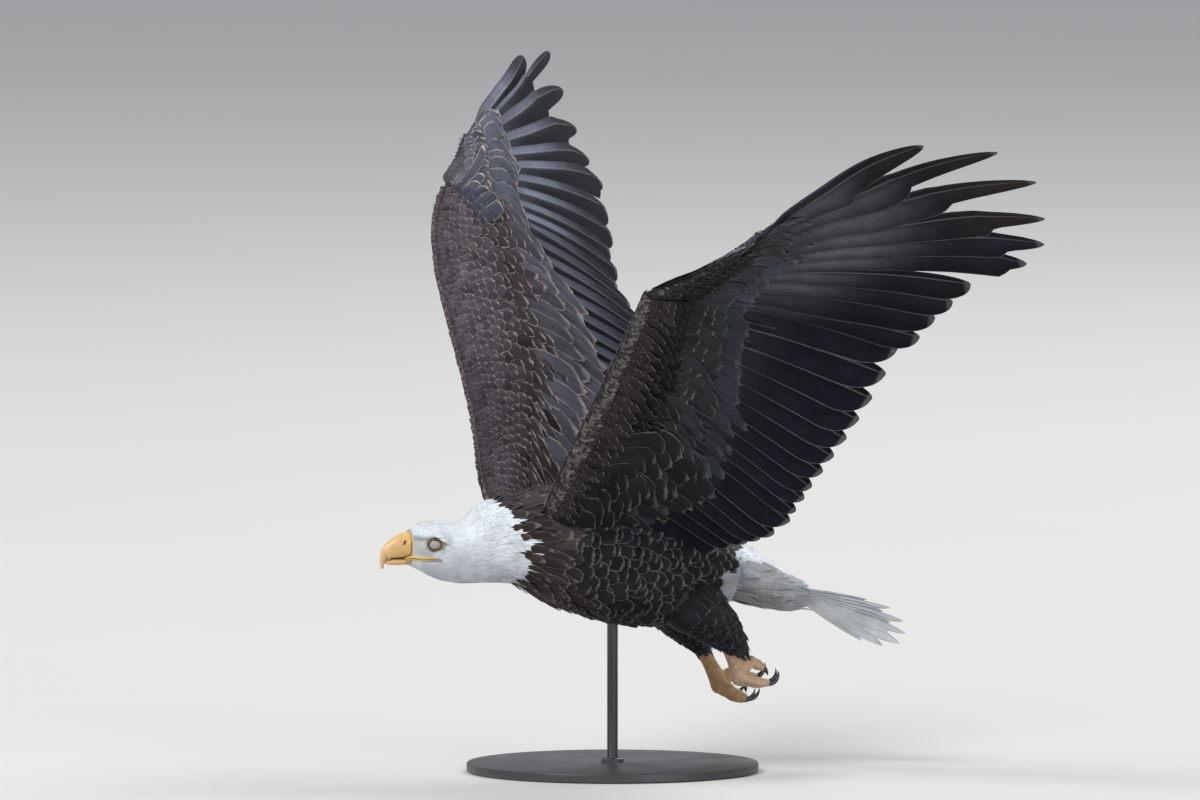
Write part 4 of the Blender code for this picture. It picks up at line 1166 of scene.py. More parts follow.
class EAGLE_OT_skin(Operator):
    """Build the one skin that stands in for the fleshy nodes"""
    bl_idname = "eagle.skin"
    bl_label = "Skin"

    def execute(self, context):
        Bird.made = None        # the sizes may have changed since the last build
        flesh = joined_shape(grid_shape(rings) for rings in flesh_forms(Bird.get(context)))
        rough = bpy.data.objects.new("skin_rough", mesh_of("skin_rough", flesh))
        context.scene.collection.objects.link(rough)
        remesh = rough.modifiers.new("remesh", "REMESH")
        remesh.mode = "VOXEL"
        remesh.voxel_size = SKIN_VOXEL
        settle = rough.modifiers.new("settle", "SMOOTH")
        settle.factor, settle.iterations = 0.5, 3
        evaluated = rough.evaluated_get(context.evaluated_depsgraph_get())
        shape = bmesh.new()
        shape.from_mesh(bpy.data.meshes.new_from_object(evaluated))
        bpy.data.objects.remove(rough)
        eyes = [eye_frame(sign)[0] for sign in (1.0, -1.0)]
        near = [edge for edge in shape.edges
                if any(np.linalg.norm(np.array(edge.verts[0].co) - eye) < 0.026 for eye in eyes)]
        bmesh.ops.subdivide_edges(shape, edges=near, cuts=1, use_grid_fill=True, smooth=0.5)
        bmesh.ops.triangulate(shape, faces=[f for f in shape.faces if len(f.verts) > 4])
        bmesh.ops.recalc_face_normals(shape, faces=shape.faces[:])
        mesh = mesh_of("skin", shape)
        places = sculpt_head(vertices_of(mesh))
        plumage, soft, _ = settings(context)
        painted_piece(mesh, places, skin_colours(places, plumage, soft),
                      skin_material("bird_skin", 0.0002, crease=0.08), "dark_plumage", FLESH,
                      sharp=None)
        return {"FINISHED"}


# ------------------------------------------------------------------ eyes and bill
class EAGLE_OT_eyes(Operator):
    """Build the eyes with the third eyelid drawn over them, and the lids round them"""
    bl_idname = "eagle.eyes"
    bl_label = "Eyes and lids"

    def execute(self, context):
        soft = settings(context)[1]
        wet = eye_material()
        fold = skin_material("lid_skin", 0.00012, 1500.0, 0.5, 0.25, 0.18)
        for side, sign, _, _ in SIDES:
            self.ball(side, sign, soft, wet)
            self.lids(side, sign, soft, fold)
        return {"FINISHED"}

    @staticmethod
    def ball(side, sign, soft, material):
        centre, axis, _, _ = eye_frame(sign)
        shape = bmesh.new()
        bmesh.ops.create_uvsphere(shape, u_segments=56, v_segments=40, radius=EYE_RADIUS)
        turn = Vector((0, 0, 1)).rotation_difference(Vector(axis)).to_matrix()
        bmesh.ops.rotate(shape, verts=shape.verts[:], cent=(0, 0, 0), matrix=turn)
        bmesh.ops.translate(shape, verts=shape.verts[:], vec=Vector(centre))
        mesh = mesh_of("eyeball_" + side, shape)
        places = vertices_of(mesh)
        distance, along, angle = from_eye(places, sign)
        front = along > 0
        bulge = hump(distance, 0.0, 0.0060, 4) * 0.0006 * front
        oval = distance * (1 - 0.113 * np.cos(2 * angle))
        tone = mixed(rgb(soft.lid) * 0.72, soft.lid, 1 - smooth(0.0046, 0.0066, oval))
        tone = mixed(tone, soft.rim, smooth(0.0062, 0.0071, oval))
        # painted highlight: a soft bluish spot a little above the middle of the eye
        painted_highlight = 1 - smooth(0.0012, 0.0038, np.linalg.norm(
            np.stack([distance * np.cos(angle), distance * np.sin(angle) - 0.001], axis=1), axis=1))
        tone = np.where(front[:, None], mixed(tone, PAINTED_EYE_HIGHLIGHT, painted_highlight * 0.70), rgb(soft.rim))
        painted_piece(mesh, places + axis * bulge[:, None], tone, material, "eye",
                      ("eye_" + side,))

    @staticmethod
    def lids(side, sign, soft, material):
        """A ring of two soft folds round the opening, thin at its inner edge."""
        centre, axis, rear, up = eye_frame(sign)
        angle = ring_angles(72)[:, None]
        across = np.linspace(0, 1, 14)[None, :]
        top, back = np.clip(np.sin(angle), 0, 1), np.clip(np.cos(angle), 0, 1)
        opening = 0.00755 + 0.00095 * np.cos(2 * angle) - 0.0011 * top ** 2
        radius = opening + across * (0.0022 + 0.0012 * back - 0.0008 * top)
        ball = np.sqrt(np.maximum(EYE_RADIUS ** 2 - radius ** 2, 0.0))
        fold = 0.0009 * hump(across, 0.16, 0.13) + 0.0006 * hump(across, 0.62, 0.16)
        height = ball + 0.0003 + fold + 0.0016 * across - 0.0026 * top ** 2 * across
        front = (centre + axis * height[..., None]
                 + (rear * np.cos(angle)[..., None] + up * np.sin(angle)[..., None])
                 * radius[..., None])
        behind = front - axis * (0.0007 + 0.0016 * across[..., None])
        loop = np.concatenate([front, behind[:, ::-1]], axis=1)
        shape = grid_shape(np.concatenate([loop, loop[:1]], axis=0), capped=False)
        mesh = mesh_of("lids_" + side, shape)
        places = vertices_of(mesh)
        distance, _, turn = from_eye(places, sign)
        edge = smooth(0.0080, 0.0088, distance * (1 - 0.10 * np.cos(2 * turn)))
        behind_eye = np.clip(np.cos(turn + 0.45), 0, 1) ** 1.5
        pale = mixed(LID_FRONT, LID_BACK, np.clip(0.10 + 1.1 * behind_eye, 0, 1))
        painted_piece(mesh, places, mixed(soft.rim, pale, edge), material, "eye")


def bill_rings(rows):
    """Sections of the bill between its crest and its lower edge, resampled smoothly."""
    rings = []
    angle = ring_angles(40)
    for ahead, top, below, low, half in rows:
        crest = np.array((BILL_BASE + ahead, 0.0, top))
        foot = np.array((BILL_BASE + below, 0.0, low))
        rise, narrow = np.sin(angle), 1.0 - 0.35 * np.clip(np.sin(angle), 0, None) ** 2
        ring = (crest + foot) / 2 + (crest - foot) / 2 * power(rise, 0.82)[:, None]
        ring[:, 1] += half * narrow * power(np.cos(angle), 0.77)
        rings.append(ring)
    return finer(np.array(rings), 6)


class EAGLE_OT_bill(Operator):
    """Build the hooked bill with its cere, nostrils and fleshy gape"""
    bl_idname = "eagle.bill"
    bl_label = "Bill"

    def execute(self, context):
        soft = settings(context)[1]
        horn = horn_material("bill_horn_satin", 0.42, 0.18, subsurface=0.08)
        lower = [(ahead, top + 0.0026, ahead, low, half * 0.97)
                 for ahead, top, low, half in LOWER_BILL]
        self.half("bill_upper", bill_rings(BILL), soft, horn)
        self.half("bill_lower", bill_rings(lower), soft, horn)
        flesh = skin_material("gape_flesh", 0.0001, 1300.0, 0.48, 0.2, 0.12)
        for side, sign, _, _ in SIDES:
            for lip, drop, thin in (("upper", 1.0, 1.0), ("lower", -1.0, 0.78)):
                self.lip("gape_%s_%s" % (lip, side), sign, drop, thin, soft, flesh)
        return {"FINISHED"}

    def half(self, node, rings, soft, material):
        """One half of the bill, closed with a rounded tip."""
        shape = grid_shape(rings)
        bmesh.ops.subdivide_edges(shape, edges=shape.edges[:], cuts=1, use_grid_fill=True,
                                  smooth=0.0)
        bmesh.ops.recalc_face_normals(shape, faces=shape.faces[:])
        mesh = mesh_of(node + "_horn", shape)
        places = vertices_of(mesh)
        tone = self.colours(places, soft)
        for sign in (1.0, -1.0):
            slit = self.nostril(places, sign)
            places[:, 1] -= sign * 0.0026 * slit
            # painted shade inside the nostril's slit
            tone = mixed(tone, NOSTRIL_DARK, np.clip(slit * 1.8, 0, 1))
        if node == "bill_upper":
            ahead = places[:, 0] - self.cere_edge(places)
            step = 0.00012 * smooth(0.0, 0.0016, -ahead) - 0.00016 * hump(ahead, 0.0, 0.0007)
            sideways = unit(places * (0.0, 1.0, 0.4) - (0.0, 0.0, 0.004))
            places = places + sideways * step[:, None]
        painted_piece(mesh, places, tone, material, "bill_horn", (node,), sharp=60.0)

    @staticmethod
    def cere_edge(places):
        """Where the cere meets the horn, slanting forward towards the mouth."""
        return CERE_X - CERE_SLANT * (places[:, 2] - CERE_Z)

    @staticmethod
    def nostril(places, sign):
        """1 in the oblique slit of the nostril."""
        x, z = places[:, 0] - NOSTRIL[0], places[:, 2] - NOSTRIL[1]
        along, across = x * 0.45 - z * 0.89, x * 0.89 + z * 0.45
        inside = np.exp(-(along / 0.0029) ** 4 - (across / 0.00125) ** 2)
        return inside * (places[:, 1] * sign > 0.002)

    def colours(self, places, soft):
        """Cere, horn, paler hook, dark line of the mouth, and smudges by the gape."""
        x, _, z = places.T
        tone = mixed(soft.cere, soft.bill, smooth(-0.0030, 0.0030, x - self.cere_edge(places)))
        tip = smooth(0.3175, 0.3290, x) * (1 - smooth(0.000, 0.018, z))
        tone = mixed(tone, BILL_TIP, tip * 0.75)
        tone = mixed(tone, MOUTH_LINE, hump(z, 0.0001, 0.0013) * (x < 0.319) * 0.9)
        smudge = (hump(x, 0.2955, 0.0022) * hump(z, -0.0052, 0.0017)
                  + 0.7 * hump(x, 0.2968, 0.0012) * hump(z, 0.0048, 0.0011))
        return mixed(tone, SMUDGE, np.clip(smudge * 0.8, 0, 1))

    @staticmethod
    def lip(name, sign, drop, thin, soft, material):
        """A fleshy lip from the bill back to under the eye, dark where it meets the other."""
        path, radii = [], []
        for s in np.linspace(0, 1, 15):
            x = lerp(MOUTH_FRONT, MOUTH_BACK, s)
            ring = torso_rings(np.array([min(x, 0.2900)]), -0.0012)[0]
            radius = lerp(0.0026, 0.0009, s ** 1.3) * thin
            radius *= 0.30 + 0.70 * float(smooth(0.0, 0.32, s))
            z = lerp(0.0002, 0.0028, s) + drop * 0.84 * radius
            rim = ring[ring[:, 1] * sign > 0]
            rim = rim[np.argsort(rim[:, 2])]
            y = np.interp(z, rim[:, 2], np.abs(rim[:, 1]))
            if x > 0.2880:
                y = lerp(y, 0.0112, (x - 0.2880) / 0.0120)
            path.append(Vector((x, sign * (y + 0.0009 - 0.60 * radius), z)))
            radii.append(radius)
        mesh = mesh_of(name, grid_shape(finer(tube_rings(path, radii, 14), 2)))
        places = vertices_of(mesh)
        back = np.clip((MOUTH_FRONT - places[:, 0]) / (MOUTH_FRONT - MOUTH_BACK), 0, 1)
        dark = hump(places[:, 2], 0.0002 + 0.0026 * back, 0.00045)
        painted_piece(mesh, places, mixed(soft.gape, LIP_LINE, dark * 0.95), material, "bill_horn")


# ------------------------------------------------------------------ coat of head and body
def kept(keep, *arrays):
    return tuple(array[keep] for array in arrays)


def growing(first, last, lengths, halves, bend=1.0):
    """Feather sizes that change evenly from one row of a chart to another."""
    def size_at(u):
        share = np.clip((u - first) / (last - first), 0, 1)
        return lerp(*lengths, share ** bend), lerp(*halves, share)
    return size_at


def rows_of(chart, start, stop, size_at, overlap, spacing, rng, wobble=0.18):
    """Staggered places over a stretch of a wrapped chart: u, v, length, half width."""
    us, vs, lengths, halves = [], [], [], []
    u, row = start, 0
    columns = chart.points.shape[1]
    at = np.arange(columns, dtype=float)
    while u < stop:
        long, wide = size_at(u)
        here = np.full(columns, u)
        run = np.concatenate([[0], np.cumsum(chart.stretch(chart.across, here, at))])
        number = max(int(run[-1] / (spacing * 2 * wide)), 6)
        places = (np.arange(number) + 0.5 * (row % 2)) / number * run[-1]
        v = np.interp(places, run, np.arange(columns + 1, dtype=float))
        vs.append(v + wobble * rng.standard_normal(number) * columns / number)
        us.append(np.full(number, u) + rng.standard_normal(number) * 0.10)
        lengths.append(long * rng.uniform(0.88, 1.12, number))
        halves.append(wide * rng.uniform(0.90, 1.10, number))
        u += overlap * long / chart.stretch(chart.down, here, at).mean()
        row += 1
    return tuple(np.concatenate(values) for values in (us, vs, lengths, halves))


def gape_distance(places):
    """Distance from the line of the mouth behind the bill, on either side."""
    x = np.clip(places[:, 0], 0.2600, 0.2960)
    level = lerp(0.0028, 0.0004, (x - 0.2600) / 0.0360)
    return np.hypot(places[:, 0] - x, places[:, 2] - level)


class EAGLE_OT_body_coat(Operator):
    """Lay the feathers of head, neck, trunk and rump"""
    bl_idname = "eagle.body_coat"
    bl_label = "Body coat"

    def execute(self, context):
        plumage, _, sizes = settings(context)
        self.rng, self.plumage = np.random.default_rng(sizes.seed), plumage
        self.rows = Bird.get(context).trunk
        self.chart = self.rows.chart
        self.white = feather_material("white_feathers", (0.86, 0.88, 0.90), 0.62, 26.0,
                                      (0.80, 0.81, 0.82, 0.25), 0.10, root_shade=0.12)
        self.dark = feather_material("dark_feathers", plumage.dark_edge[:], 0.62, 22.0,
                                     (0.007, 0.006, 0.006, 0.5), 0.03, 0.20, 0.08, 0.60)
        self.head()
        self.neck()
        self.trunk()
        return {"FINISHED"}

    def head(self):
        """Short feathers, left out at the eyes, the cere and the mouth."""
        rng, row = self.rng, self.rows.row
        sizes = growing(row(0.285), row(0.216), (0.0062, 0.0170), (0.00085, 0.0015), 0.9)
        u, v, long, wide = rows_of(self.chart, row(0.2903), row(0.206), sizes, 0.27, 0.62, rng,
                                   0.30)
        places = self.chart.at(u, v)
        clear = gape_distance(places) > np.where(places[:, 2] < 0, 0.0020, 0.0028)
        clear &= (places[:, 0] < 0.2901) | (places[:, 2] < -0.004)
        brow = np.zeros(len(places))
        ends = places - long[:, None] * np.array((1.0, 0.0, 0.0))
        for sign in (1.0, -1.0):
            own = places[:, 1] * sign > 0
            for spots, near in ((ends, 0.0088), (places, 0.0098)):
                distance, _, angle = from_eye(spots, sign)
                reach = (near + 0.0009 * np.cos(2 * angle) - 0.0026 * np.clip(np.sin(angle), 0, 1)
                         + 0.0010 * np.clip(np.cos(angle), 0, 1))
                clear &= (distance > reach) | ~own
            brow += hump(distance, 0.0085, 0.0040) * hump(angle, 1.60, 0.85) * own
        u, v, long, wide, places, brow = kept(clear, u, v, long, wide, places, brow)
        x, _, z = places.T
        lores = smooth(0.268, 0.277, x) * smooth(0.002, 0.008, z) * (1 - smooth(0.026, 0.032, z))
        size = (long * lerp(1.0, 0.80, lores) * (1 + 0.5 * brow), wide * lerp(1.0, 0.80, lores))
        turn = 0.10 * rng.standard_normal(len(u)) + self.flow(places)
        lift = (0.52 + 0.6 * brow, 0.60 + 0.12 * rng.random(len(u)))
        tone = mixed(self.white_tone(places), LORE_GREY, lores * 0.60)
        # painted shadow: a darker band under the brow, over the lores
        tone = mixed(tone, BROW_SHADE, hump(z, 0.0275, 0.0026) * smooth(0.2655, 0.2700, x) * 0.65)
        self.coat("coat_head", self.white, Vane(SMALL, NARROW), u, v, turn, size, lift,
                  (tone, 0.05, 0.5), thick=0.00008, proud=0.0056 * brow)

    def coat(self, name, material, *feathers, **shape):
        coat = Coat(name, "white_plumage" if material is self.white else "dark_plumage", material)
        coat.cover(self.rng, self.chart, *feathers, **shape)
        coat.build()

    @staticmethod
    def flow(places):
        """Feathers part round the eye and sweep down behind the mouth."""
        turn = np.zeros(len(places))
        for sign in (1.0, -1.0):
            distance, _, angle = from_eye(places, sign)
            near = hump(distance, 0.011, 0.007) * (places[:, 1] * sign > 0)
            turn += near * 0.55 * np.sin(angle) * np.sign(np.cos(angle)) * -0.4 * sign
        cheek = hump(places[:, 0], 0.245, 0.03) * (np.abs(places[:, 1]) > 0.012)
        return turn - np.sign(places[:, 1]) * 0.16 * cheek

    def white_tone(self, places):
        # painted shade: the white darkens towards the underside, as it does under light from above
        shade = 1 - smooth(-0.036, 0.014, places[:, 2])
        return mixed(self.plumage.white, self.plumage.white_shade, shade * 0.80)

    def neck(self):
        """Lance-shaped feathers down to the ragged edge of the collar."""
        rng, start, stop = self.rng, self.rows.row(0.214), self.rows.row(0.158)
        sizes = growing(start, stop, (0.018, 0.030), (0.0015, 0.0025))
        u, v, long, wide = rows_of(self.chart, start, stop, sizes, 0.15, 0.60, rng, 0.30)
        places = self.chart.at(u, v)
        keep = collar(places) > 0.35 + 0.3 * rng.random(len(u)) - 0.15
        u, v, long, wide, places = kept(keep, u, v, long, wide, places)
        side = np.sign(places[:, 1]) * (np.abs(places[:, 1]) > 0.01)
        turn = 0.13 * rng.standard_normal(len(u)) - side * 0.14
        lift = (0.48, 0.64 + 0.16 * rng.random(len(u)))
        self.coat("coat_neck", self.white, Vane(POINTED, NARROW), u, v, turn, (long, wide), lift,
                  (self.white_tone(places), 0.07, 0.6), camber=0.15,
                  roll=0.05 * rng.standard_normal(len(u)), thick=0.00012)

    def trunk(self):
        """Round feathers, with pointed pale-edged ones on the breast."""
        rng, plumage, start = self.rng, self.plumage, self.rows.row(0.182)
        sizes = growing(start, self.rows.row(0.10), (0.021, 0.037), (0.0052, 0.0106))
        u, v, long, wide = rows_of(self.chart, start, self.rows.rump_row + 12.0, sizes, 0.36, 0.66,
                                   rng)
        places = self.chart.at(u, v)
        keep = (collar(places) < 0.75) & (tail_white(places) < 0.25 + 0.5 * rng.random(len(u)))
        long = long * lerp(1.0, 0.62, smooth(-0.125, -0.165, places[:, 0]))
        u, v, long, wide, places = kept(keep, u, v, long, wide, places)
        x, _, z = places.T
        low = 1 - smooth(-0.055, 0.005, z)
        breast = smooth(0.045, 0.115, x) * np.maximum(low, 0.75 * smooth(0.095, 0.135, x))
        back = smooth(0.03, 0.06, z)
        shoulder = back * smooth(-0.10, -0.05, x)
        long = long * (1 + 0.35 * shoulder) * lerp(1.0, 1.12, breast)
        wide = wide * (1 + 0.15 * shoulder) * lerp(1.0, 0.78, breast)
        tone = mixed(plumage.dark, plumage.breast, np.clip(breast, 0, 1))
        tone = mixed(tone, rgb(plumage.upper) * 0.55, back * 0.8)
        turn = (0.10 + 0.12 * breast) * rng.standard_normal(len(u))
        tips = 0.85 + 0.4 * rng.random(len(u))
        pointed = rng.random(len(u)) < breast * 0.9
        for name, chosen, outline in (("coat_trunk", ~pointed, ROUND),
                                      ("coat_breast", pointed, POINTED)):
            *where, size, wider, tip = kept(chosen, u, v, turn, long, wide, tips)
            self.coat(name, self.dark, Vane(outline), *where, (size, wider), (0.10, tip),
                      (tone[chosen], 0.20, 1.0), camber=0.16,
                      roll=0.05 * rng.standard_normal(len(tip)))


# ------------------------------------------------------------------ flight feathers
def long_vane():
    """Template for flight feathers: rows close together towards the tip."""
    reach = np.linspace(0, 1, LONG_ROWS + 1)
    reach = 1 - (1 - reach) ** 1.6
    return Vane([(float(r), 1.0) for r in reach], LONG_COLUMNS)


def round_tip(reach, start, blunt=0.5):
    """Width factor of a rounded end."""
    t = np.clip((reach - start) / (1 - start), 0, 1)
    return np.clip(1 - t ** 2.2, 0.0004, 1) ** blunt


class Quills:
    """Flight feathers of one wing: long stiff vanes, each with a shaft."""

    def __init__(self, wing, rng):
        self.wing, self.rng, self.vane = wing, rng, long_vane()
        self.reach, self.share, self.level = self.vane.points.T

    def spacing(self, q, reach, step):
        """Distance across from feather q's middle line to its neighbour's."""
        other = min(max(q + step, Q_START), 27.0)
        heading = np.array(self.wing.heading(q))
        offset = self.line(other, reach) - self.line(q, reach)
        offset = offset - (offset @ heading)[:, None] * heading
        return np.linalg.norm(offset, axis=1) / max(abs(other - q), 0.1)

    def line(self, q, reach):
        wing = self.wing
        full = wing.length(q)
        bow = FEATHER_BOW * full * 4 * reach * (1 - reach)
        return (np.array(wing.root(q)) + np.array(wing.heading(q)) * (full * reach)[:, None]
                + np.array(wing.normal(q)) * bow[:, None])

    def widths(self, q, reach):
        """Leading and trailing half widths along the feather."""
        lead = np.minimum(0.50 * self.spacing(q, reach, -1.0), 0.0125)
        trail = np.minimum(0.96 * self.spacing(q, reach, 1.0), 0.0400)
        number = 10 - q
        if number > 4.4:
            stop = NOTCH[int(round(number))]
            free = np.clip((reach - stop) / (1 - stop), 0, 1)
            room = FINGER_HALF
            for other in (-1.0, 1.0):
                if 0 <= q + other:
                    gap = self.spacing(q, np.array([stop]), other)[0]
                    room = min(room, 0.47 * gap)
            finger = lerp(room, min(FINGER_HALF * 0.66, room * 1.85), free)
            widest = FINGER_HALF if number > 9.5 else finger
            notch_lead = GAP_END.get(number + 0.5, 0.28)
            notch_trail = GAP_END.get(number - 0.5, 1.0)
            start = 0.05 if number > 9.5 else notch_lead - 0.20
            lead = lerp(lead, 0.66 * widest, smooth(start, notch_lead + 0.01, reach))
            trail = lerp(trail, 1.34 * finger,
                         smooth(notch_trail - 0.035, notch_trail + 0.01, reach))
            tip = np.clip(1 - free ** 2.8, 0.001, 1) ** 0.55
        else:
            tip = round_tip(reach, 0.84)
        return lead * tip, trail * tip

    def place(self, q):
        """One feather's points on the right side of the body."""
        wing, rng = self.wing, self.rng
        heading, normal = np.array(wing.heading(q)), np.array(wing.normal(q))
        across = np.cross(normal, heading)
        lead, trail = self.widths(q, self.reach)
        slim = smooth(0.0, 0.10, self.reach) * 0.75 + 0.25
        side = np.where(self.share < 0, self.share * lead, self.share * trail) * slim
        stop = GAP_END.get(9.5 - q, 1.0)
        centred = 0.30 + 0.20 * smooth(stop - 0.04, stop + 0.01, self.reach)
        shift = -centred * (trail - lead) * smooth(0.4, 0.8, self.reach) * (10 - q > 4.4)
        middle = side + shift
        shaft = 0.0014 * (1 - 0.85 * self.reach)
        blade = 0.00030 * (1.3 - self.reach)
        thick = np.where(np.abs(self.share) < 0.03, shaft, blade)
        curl = 0.03 * np.abs(side) + 1.3 * side ** 2
        cover = self.wing.cover(q)
        bare = 0.35 + 0.65 * smooth(cover * 0.9, cover + 0.20, self.reach)
        height = -(VANE_TILT * middle + curl) * bare + self.level * thick
        bend = rng.normal(0, 0.0016) * self.reach ** 2
        return wing.out(self.line(q, self.reach) + across * (middle + bend)[:, None]
                        + normal * height[:, None])

    def tone(self, q, plumage):
        """Colours over one feather: pale base and outer web, dark tip, and painted shade across the
        underside where the feathers overlap.
        """
        number = 10 - q
        reach, share, level = self.reach, self.share, self.level
        flight, silver, slate = rgb(plumage.flight), rgb(plumage.silver), rgb(plumage.slate)
        outer_web = (1 - smooth(-0.02, 0.08, share)) * (1 - 0.92 * smooth(0.46, 0.84, reach))
        outer_web = outer_web + 0.25 * (1 - smooth(0.25, 0.50, reach)) * (share > 0.04)
        upper = lerp(flight, slate * (1.7 if number > 0 else 0.95), outer_web[:, None])
        if number > 0:
            fade = 1 - smooth(0.36, 0.72, reach)
            web = lerp(0.55, 1.0, smooth(-0.2, 0.5, share))
            under = lerp(flight, silver, (fade * web * (0.45 + 0.55 * (number > 2)))[:, None])
            # painted shade: the underside darkens towards both margins, where the feathers overlap
            under = under * (0.50 + 1.0 * np.exp(-((share - 0.30) / 0.38) ** 2))[:, None]
        else:
            fade = (1 - smooth(0.30, 0.62, reach)) * 0.22
            under = lerp(flight, silver, fade[:, None])
            # painted shade: the underside darkens towards the leading edge, where the next feather
            # overlaps
            under = under * lerp(0.55, 1.45, smooth(-0.9, 0.9, share))[:, None]
        if number >= 7:
            under = mixed(under, FINGER_BROWN, smooth(0.6, 0.9, reach) * 0.8)
        tone = np.where((level > 0)[:, None], upper, np.where((level < 0)[:, None], under,
                                                              (upper + under) / 2))
        tone = np.clip(tone * (1 + 0.10 * self.rng.standard_normal()), 0, 1)
        return np.insert(tone, 3, 0.75 if number <= 0 else 0.55, axis=1)


# rows of coverts: share of the covered chord at the tips, length as a share, width, kind
UPPER_ROWS = (
    (0.045, 0.042, 0.0080, "fleck"), (0.078, 0.060, 0.0090, "edge"),
    (0.112, 0.070, 0.0100, "edge"), (0.148, 0.080, 0.0110, "edge"),
    (0.187, 0.090, 0.0120, "edge"), (0.229, 0.100, 0.0135, "edge"),
    (0.275, 0.115, 0.0150, "edge"), (0.326, 0.130, 0.0170, "edge"),
    (0.382, 0.150, 0.0190, "edge"), (0.443, 0.170, 0.0210, "edge"),
    (0.508, 0.190, 0.0230, "edge"), (0.580, 0.215, 0.0250, "edge"),
    (0.660, 0.250, 0.0280, "edge"),
)
UPPER_HAND_ROWS = (
    (0.130, 0.115, 0.0150, "edge"), (0.240, 0.175, 0.0200, "edge"),
    (0.360, 0.235, 0.0240, "edge"), (0.490, 0.300, 0.0280, "edge"),
)
LOWER_ROWS = (
    (0.034, 0.030, 0.0055, "fleck"), (0.054, 0.038, 0.0060, "fleck"),
    (0.076, 0.044, 0.0065, "fleck"), (0.102, 0.054, 0.0080, "fleck"),
    (0.138, 0.078, 0.0140, "plain"), (0.185, 0.090, 0.0175, "plain"),
    (0.238, 0.105, 0.0205, "plain"), (0.296, 0.120, 0.0220, "plain"),
    (0.352, 0.120, 0.0205, "black"), (0.408, 0.125, 0.0210, "black"),
    (0.465, 0.130, 0.0215, "black"), (0.560, 0.190, 0.0240, "median"),
    (0.660, 0.240, 0.0270, "median"),
)
LOWER_HAND_ROWS = (
    (0.085, 0.050, 0.0070, "fleck"), (0.130, 0.080, 0.0100, "fleck"),
    (0.200, 0.115, 0.0155, "plain"), (0.290, 0.155, 0.0205, "plain"),
    (0.400, 0.210, 0.0245, "black"), (0.520, 0.260, 0.0280, "black"),
)
ROWS = {("upper", "arm"): UPPER_ROWS, ("upper", "hand"): UPPER_HAND_ROWS,
        ("lower", "arm"): LOWER_ROWS, ("lower", "hand"): LOWER_HAND_ROWS}
# leading edge: share of the chord, rows, feather places left free at the hand's end, turn,
# width, least and greatest half width, kind
ARM_LEAD = (0.004, 1, 0.0, 1.15, 0.0064, (0.0020, 0.0028), "fleck")
HAND_LEAD = (1.45, 0.0280, (0.0044, 0.0064), "lead")
LEADS = {("upper", "arm"): ARM_LEAD, ("upper", "hand"): (0.004, 2, 1.4, *HAND_LEAD),
         ("lower", "arm"): ARM_LEAD, ("lower", "hand"): (0.034, 2, 3.4, *HAND_LEAD)}
# alula: feather place, share of the chord at its root, turn from the lie, length, rise at the tip
ALULA = ((9.5, 0.090, -0.88, 0.066, 0.0062), (10.1, 0.120, -0.84, 0.080, 0.0060),
         (10.7, 0.155, -0.78, 0.092, 0.0058), (11.3, 0.195, -0.72, 0.098, 0.0056),
         (11.9, 0.235, -0.65, 0.096, 0.0054), (12.5, 0.270, -0.59, 0.090, 0.0052))
CHORD = 0.20            # covered chord at which the widths above hold
WIDTH_SCALE = (0.62, 1.15)      # least and greatest scale of those widths
HAND_END, WRIST, ARM_END = -0.30, 9.6, 27.4


